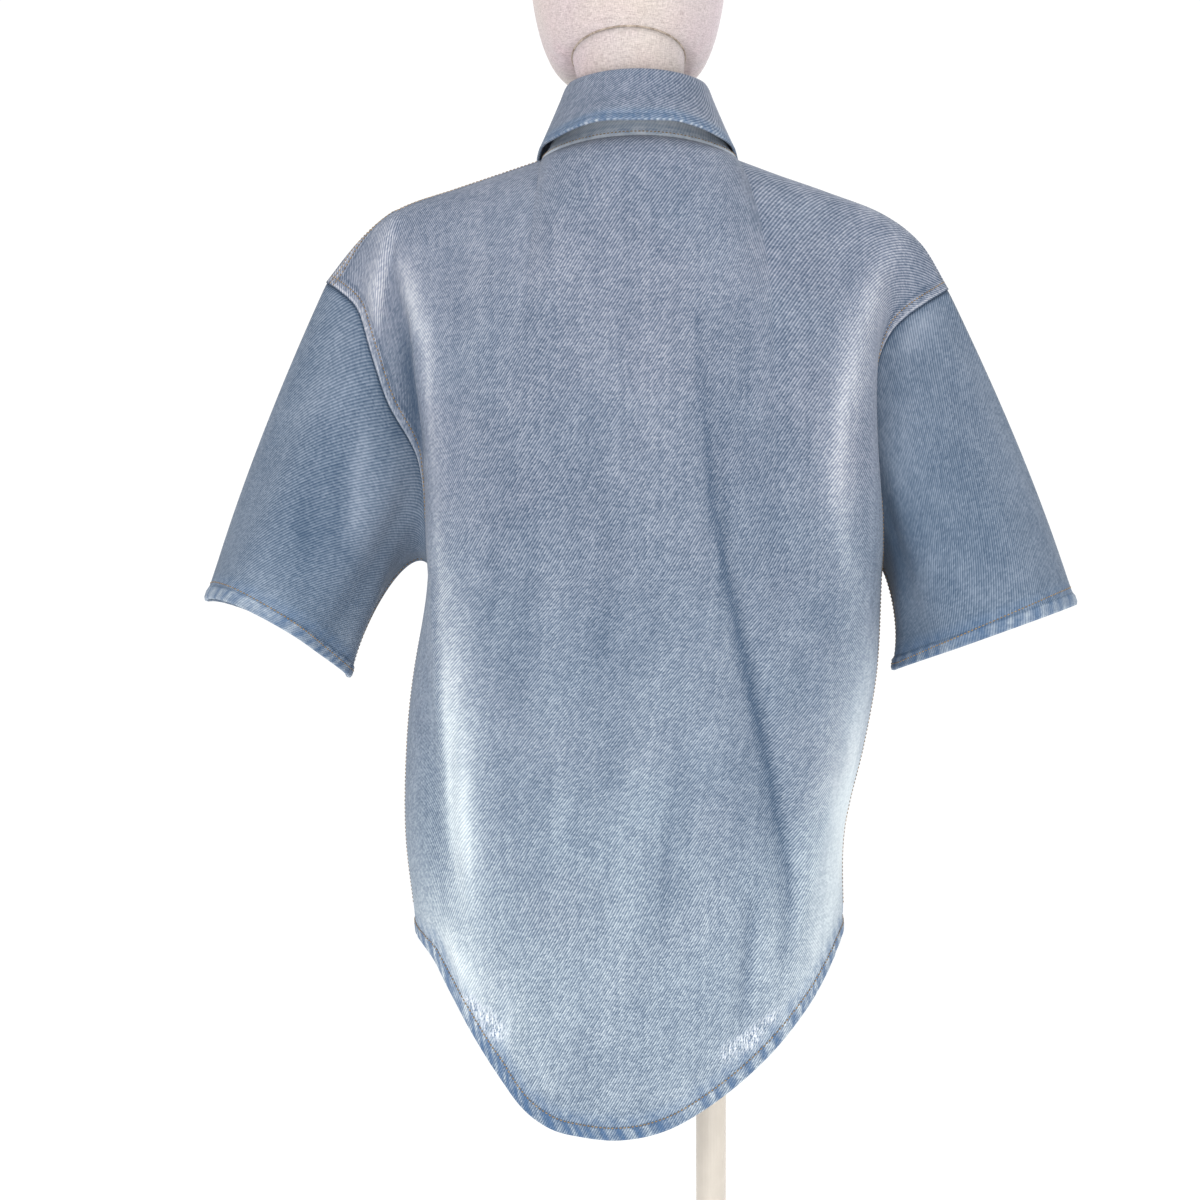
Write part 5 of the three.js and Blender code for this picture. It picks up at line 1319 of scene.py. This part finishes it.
def turned_button():
    bpy.ops.mesh.primitive_cylinder_add(vertices=32, radius=BUTTON_RADIUS, depth=BUTTON_THICK)
    button = bpy.context.object
    button.data.materials.append(pearl)
    for polygon in button.data.polygons:
        polygon.select = polygon.normal.z > 0.9
    bpy.ops.object.mode_set(mode="EDIT")
    bpy.ops.mesh.select_mode(type="FACE")
    bpy.ops.mesh.inset(thickness=BUTTON_RIM)
    bpy.ops.transform.translate(value=(0, 0, -BUTTON_DISH))
    bpy.ops.object.mode_set(mode="OBJECT")
    finished(button, "BEVEL", width=BUTTON_ROUND, segments=2, limit_method="ANGLE")
    for x in (-HOLE_APART / 2, HOLE_APART / 2):
        for y in (-HOLE_APART / 2, HOLE_APART / 2):
            bpy.ops.object.select_all(action="DESELECT")
            bpy.ops.mesh.primitive_cylinder_add(vertices=12, radius=HOLE_RADIUS, depth=2 * BUTTON_THICK,
                                                location=(x, y, 0))
            drill = bpy.context.object
            finished(button, "BOOLEAN", operation="DIFFERENCE", solver="EXACT", object=drill)
            bpy.data.objects.remove(drill)
    bars = []
    for x in (-HOLE_APART / 2, HOLE_APART / 2):
        bpy.ops.object.select_all(action="DESELECT")
        bpy.ops.mesh.primitive_cylinder_add(vertices=10, radius=BAR_RADIUS, depth=HOLE_APART + HOLE_RADIUS,
                                            location=(x, 0, BUTTON_THICK / 2 - BUTTON_DISH),
                                            rotation=(math.pi / 2, 0, 0))
        bar = bpy.context.object
        bar.data.materials.append(thread)
        bpy.ops.object.transform_apply(location=True, rotation=True, scale=True)
        finished(bar, "BEVEL", width=BAR_RADIUS * 0.6, segments=2, limit_method="ANGLE")
        bars.append(bar)
    bpy.ops.object.select_all(action="DESELECT")
    for item in (*bars, button):
        item.select_set(True)
    bpy.context.view_layer.objects.active = button
    bpy.ops.object.join()
    bpy.ops.object.shade_smooth_by_angle(angle=math.radians(40))
    return button


def button_place(node):
    """Middle of a CAD button, and the frame that turns a flat button to face as it does."""
    points = np.array([tuple(v.co) for v in node.data.vertices])
    facing = np.linalg.svd(points - points.mean(axis=0), full_matrices=False)[2][2]
    facing = facing * np.sign(facing[1])
    reach = (points - points.mean(axis=0)) @ facing
    middle = points.mean(axis=0) + facing * (reach.max() + reach.min()) / 2
    up = np.array((0.0, 0.0, 1.0)) - facing * facing[2]
    up /= np.linalg.norm(up)
    return middle, np.cross(up, facing), up, facing


pattern = turned_button()
holes_points, holes_faces = [], []
AROUND, ABOUT = 64, 6
for i in range(1, 8):
    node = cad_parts["button_%d" % i]
    middle, side, up, facing = button_place(node)
    piece = pattern if i == 7 else pattern.copy()
    if i < 7:
        piece.data = pattern.data.copy()
        bpy.context.collection.objects.link(piece)
    piece.name = "sewn_button_%d" % i
    frame_matrix = Matrix(((side[0], up[0], facing[0], middle[0]), (side[1], up[1], facing[1], middle[1]),
                           (side[2], up[2], facing[2], middle[2]), (0, 0, 0, 1)))
    piece.data.transform(frame_matrix)
    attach(piece, "root")
    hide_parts("button_%d" % i)
    long, short = (side, up) if i == 1 else (up, side)
    base = middle * 1000 - facing * (BUTTON_THICK * 500 + 0.1)
    start = len(holes_points)
    for a in range(AROUND):
        turn = 2 * math.pi * a / AROUND
        end = math.copysign((BUTTONHOLE_LENGTH - BUTTONHOLE_WIDTH) / 2, math.cos(turn))
        out = long * math.cos(turn) + short * math.sin(turn)
        spot = base + out * BUTTONHOLE_WIDTH / 2 + long * end * min(1, abs(math.cos(turn)) * 2.2)
        whip = WHIP_RADIUS * (1 + 0.18 * (a % 2))
        for b in range(ABOUT):
            lean = 2 * math.pi * b / ABOUT
            holes_points.append(spot + out * whip * math.cos(lean) + facing * whip * math.sin(lean))
            c, d = (a + 1) % AROUND, (b + 1) % ABOUT
            holes_faces.append((start + a * ABOUT + b, start + c * ABOUT + b, start + c * ABOUT + d,
                                start + a * ABOUT + d))
buttonholes = mesh_piece("buttonholes", np.array(holes_points) / 1000, holes_faces, thread)
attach(buttonholes, "root")


# ---------------------------------------------------------------- studio
# Plain pale floor and backdrop, and large soft lights from both sides, above and the camera's side.

bpy.ops.mesh.primitive_plane_add(size=60, location=(0, 0, 0))
floor = bpy.context.object
floor.name = "floor"
studio, nodes, links, shader = new_material("studio_floor")
shader.inputs["Base Color"].default_value = (0.88, 0.88, 0.88, 1)
shader.inputs["Roughness"].default_value = 0.95
shader.inputs["Specular IOR Level"].default_value = 0.0
shader.inputs["Emission Color"].default_value = (1, 1, 1, 1)
shader.inputs["Emission Strength"].default_value = 0.62
floor.data.materials.append(studio)

world = bpy.data.worlds.new("studio")
bpy.context.scene.world = world
world.use_nodes = True
nodes, links = world.node_tree.nodes, world.node_tree.links
sky = nodes["Background"]
sky.inputs["Color"].default_value = (0.97, 0.985, 1.0, 1)
sky.inputs["Strength"].default_value = 0.48
white_sky = add_node(nodes, "ShaderNodeBackground")
white_sky.inputs["Color"].default_value = (1, 1, 1, 1)
white_sky.inputs["Strength"].default_value = 1.05
seen = nodes.new("ShaderNodeLightPath")
either = nodes.new("ShaderNodeMixShader")
links.new(seen.outputs["Is Camera Ray"], either.inputs["Fac"])
links.new(sky.outputs["Background"], either.inputs[1])
links.new(white_sky.outputs["Background"], either.inputs[2])
links.new(either.outputs["Shader"], nodes["World Output"].inputs["Surface"])
bpy.context.scene.view_settings.view_transform = "Standard"


def soft_light(name, place, aim, size, power):
    lamp = bpy.data.lights.new(name, "AREA")
    lamp.shape = "RECTANGLE"
    lamp.size, lamp.size_y = size
    lamp.energy = power
    lamp_object = bpy.data.objects.new(name, lamp)
    bpy.context.collection.objects.link(lamp_object)
    lamp_object.location = place
    lamp_object.rotation_euler = (Vector(aim) - Vector(place)).to_track_quat("-Z", "Y").to_euler()


soft_light("softbox_left", (-2.4, -2.6, 2.3), (0, 0, 1.1), (1.6, 2.2), 55)
soft_light("softbox_right", (2.6, -2.2, 2.1), (0, 0, 1.1), (1.6, 2.2), 45)
soft_light("top_light", (0, -0.6, 3.6), (0, 0, 1.2), (2.5, 2.0), 35)
soft_light("front_light", (0.6, 3.2, 2.4), (0, 0, 1.1), (2.2, 2.0), 62)
soft_light("low_fill", (0.0, -3.6, 0.9), (0, 0, 1.2), (2.4, 1.2), 18)

# The camera stands level behind the shirt.
camera = bpy.data.cameras.new("camera")
camera.lens, camera.sensor_width = 112.5, 36
camera_object = bpy.data.objects.new("camera", camera)
bpy.context.collection.objects.link(camera_object)
camera_object.location = (-0.0296, -3.1, 1.090)
camera_object.rotation_euler = (math.radians(90), 0, 0)
bpy.context.scene.camera = camera_object
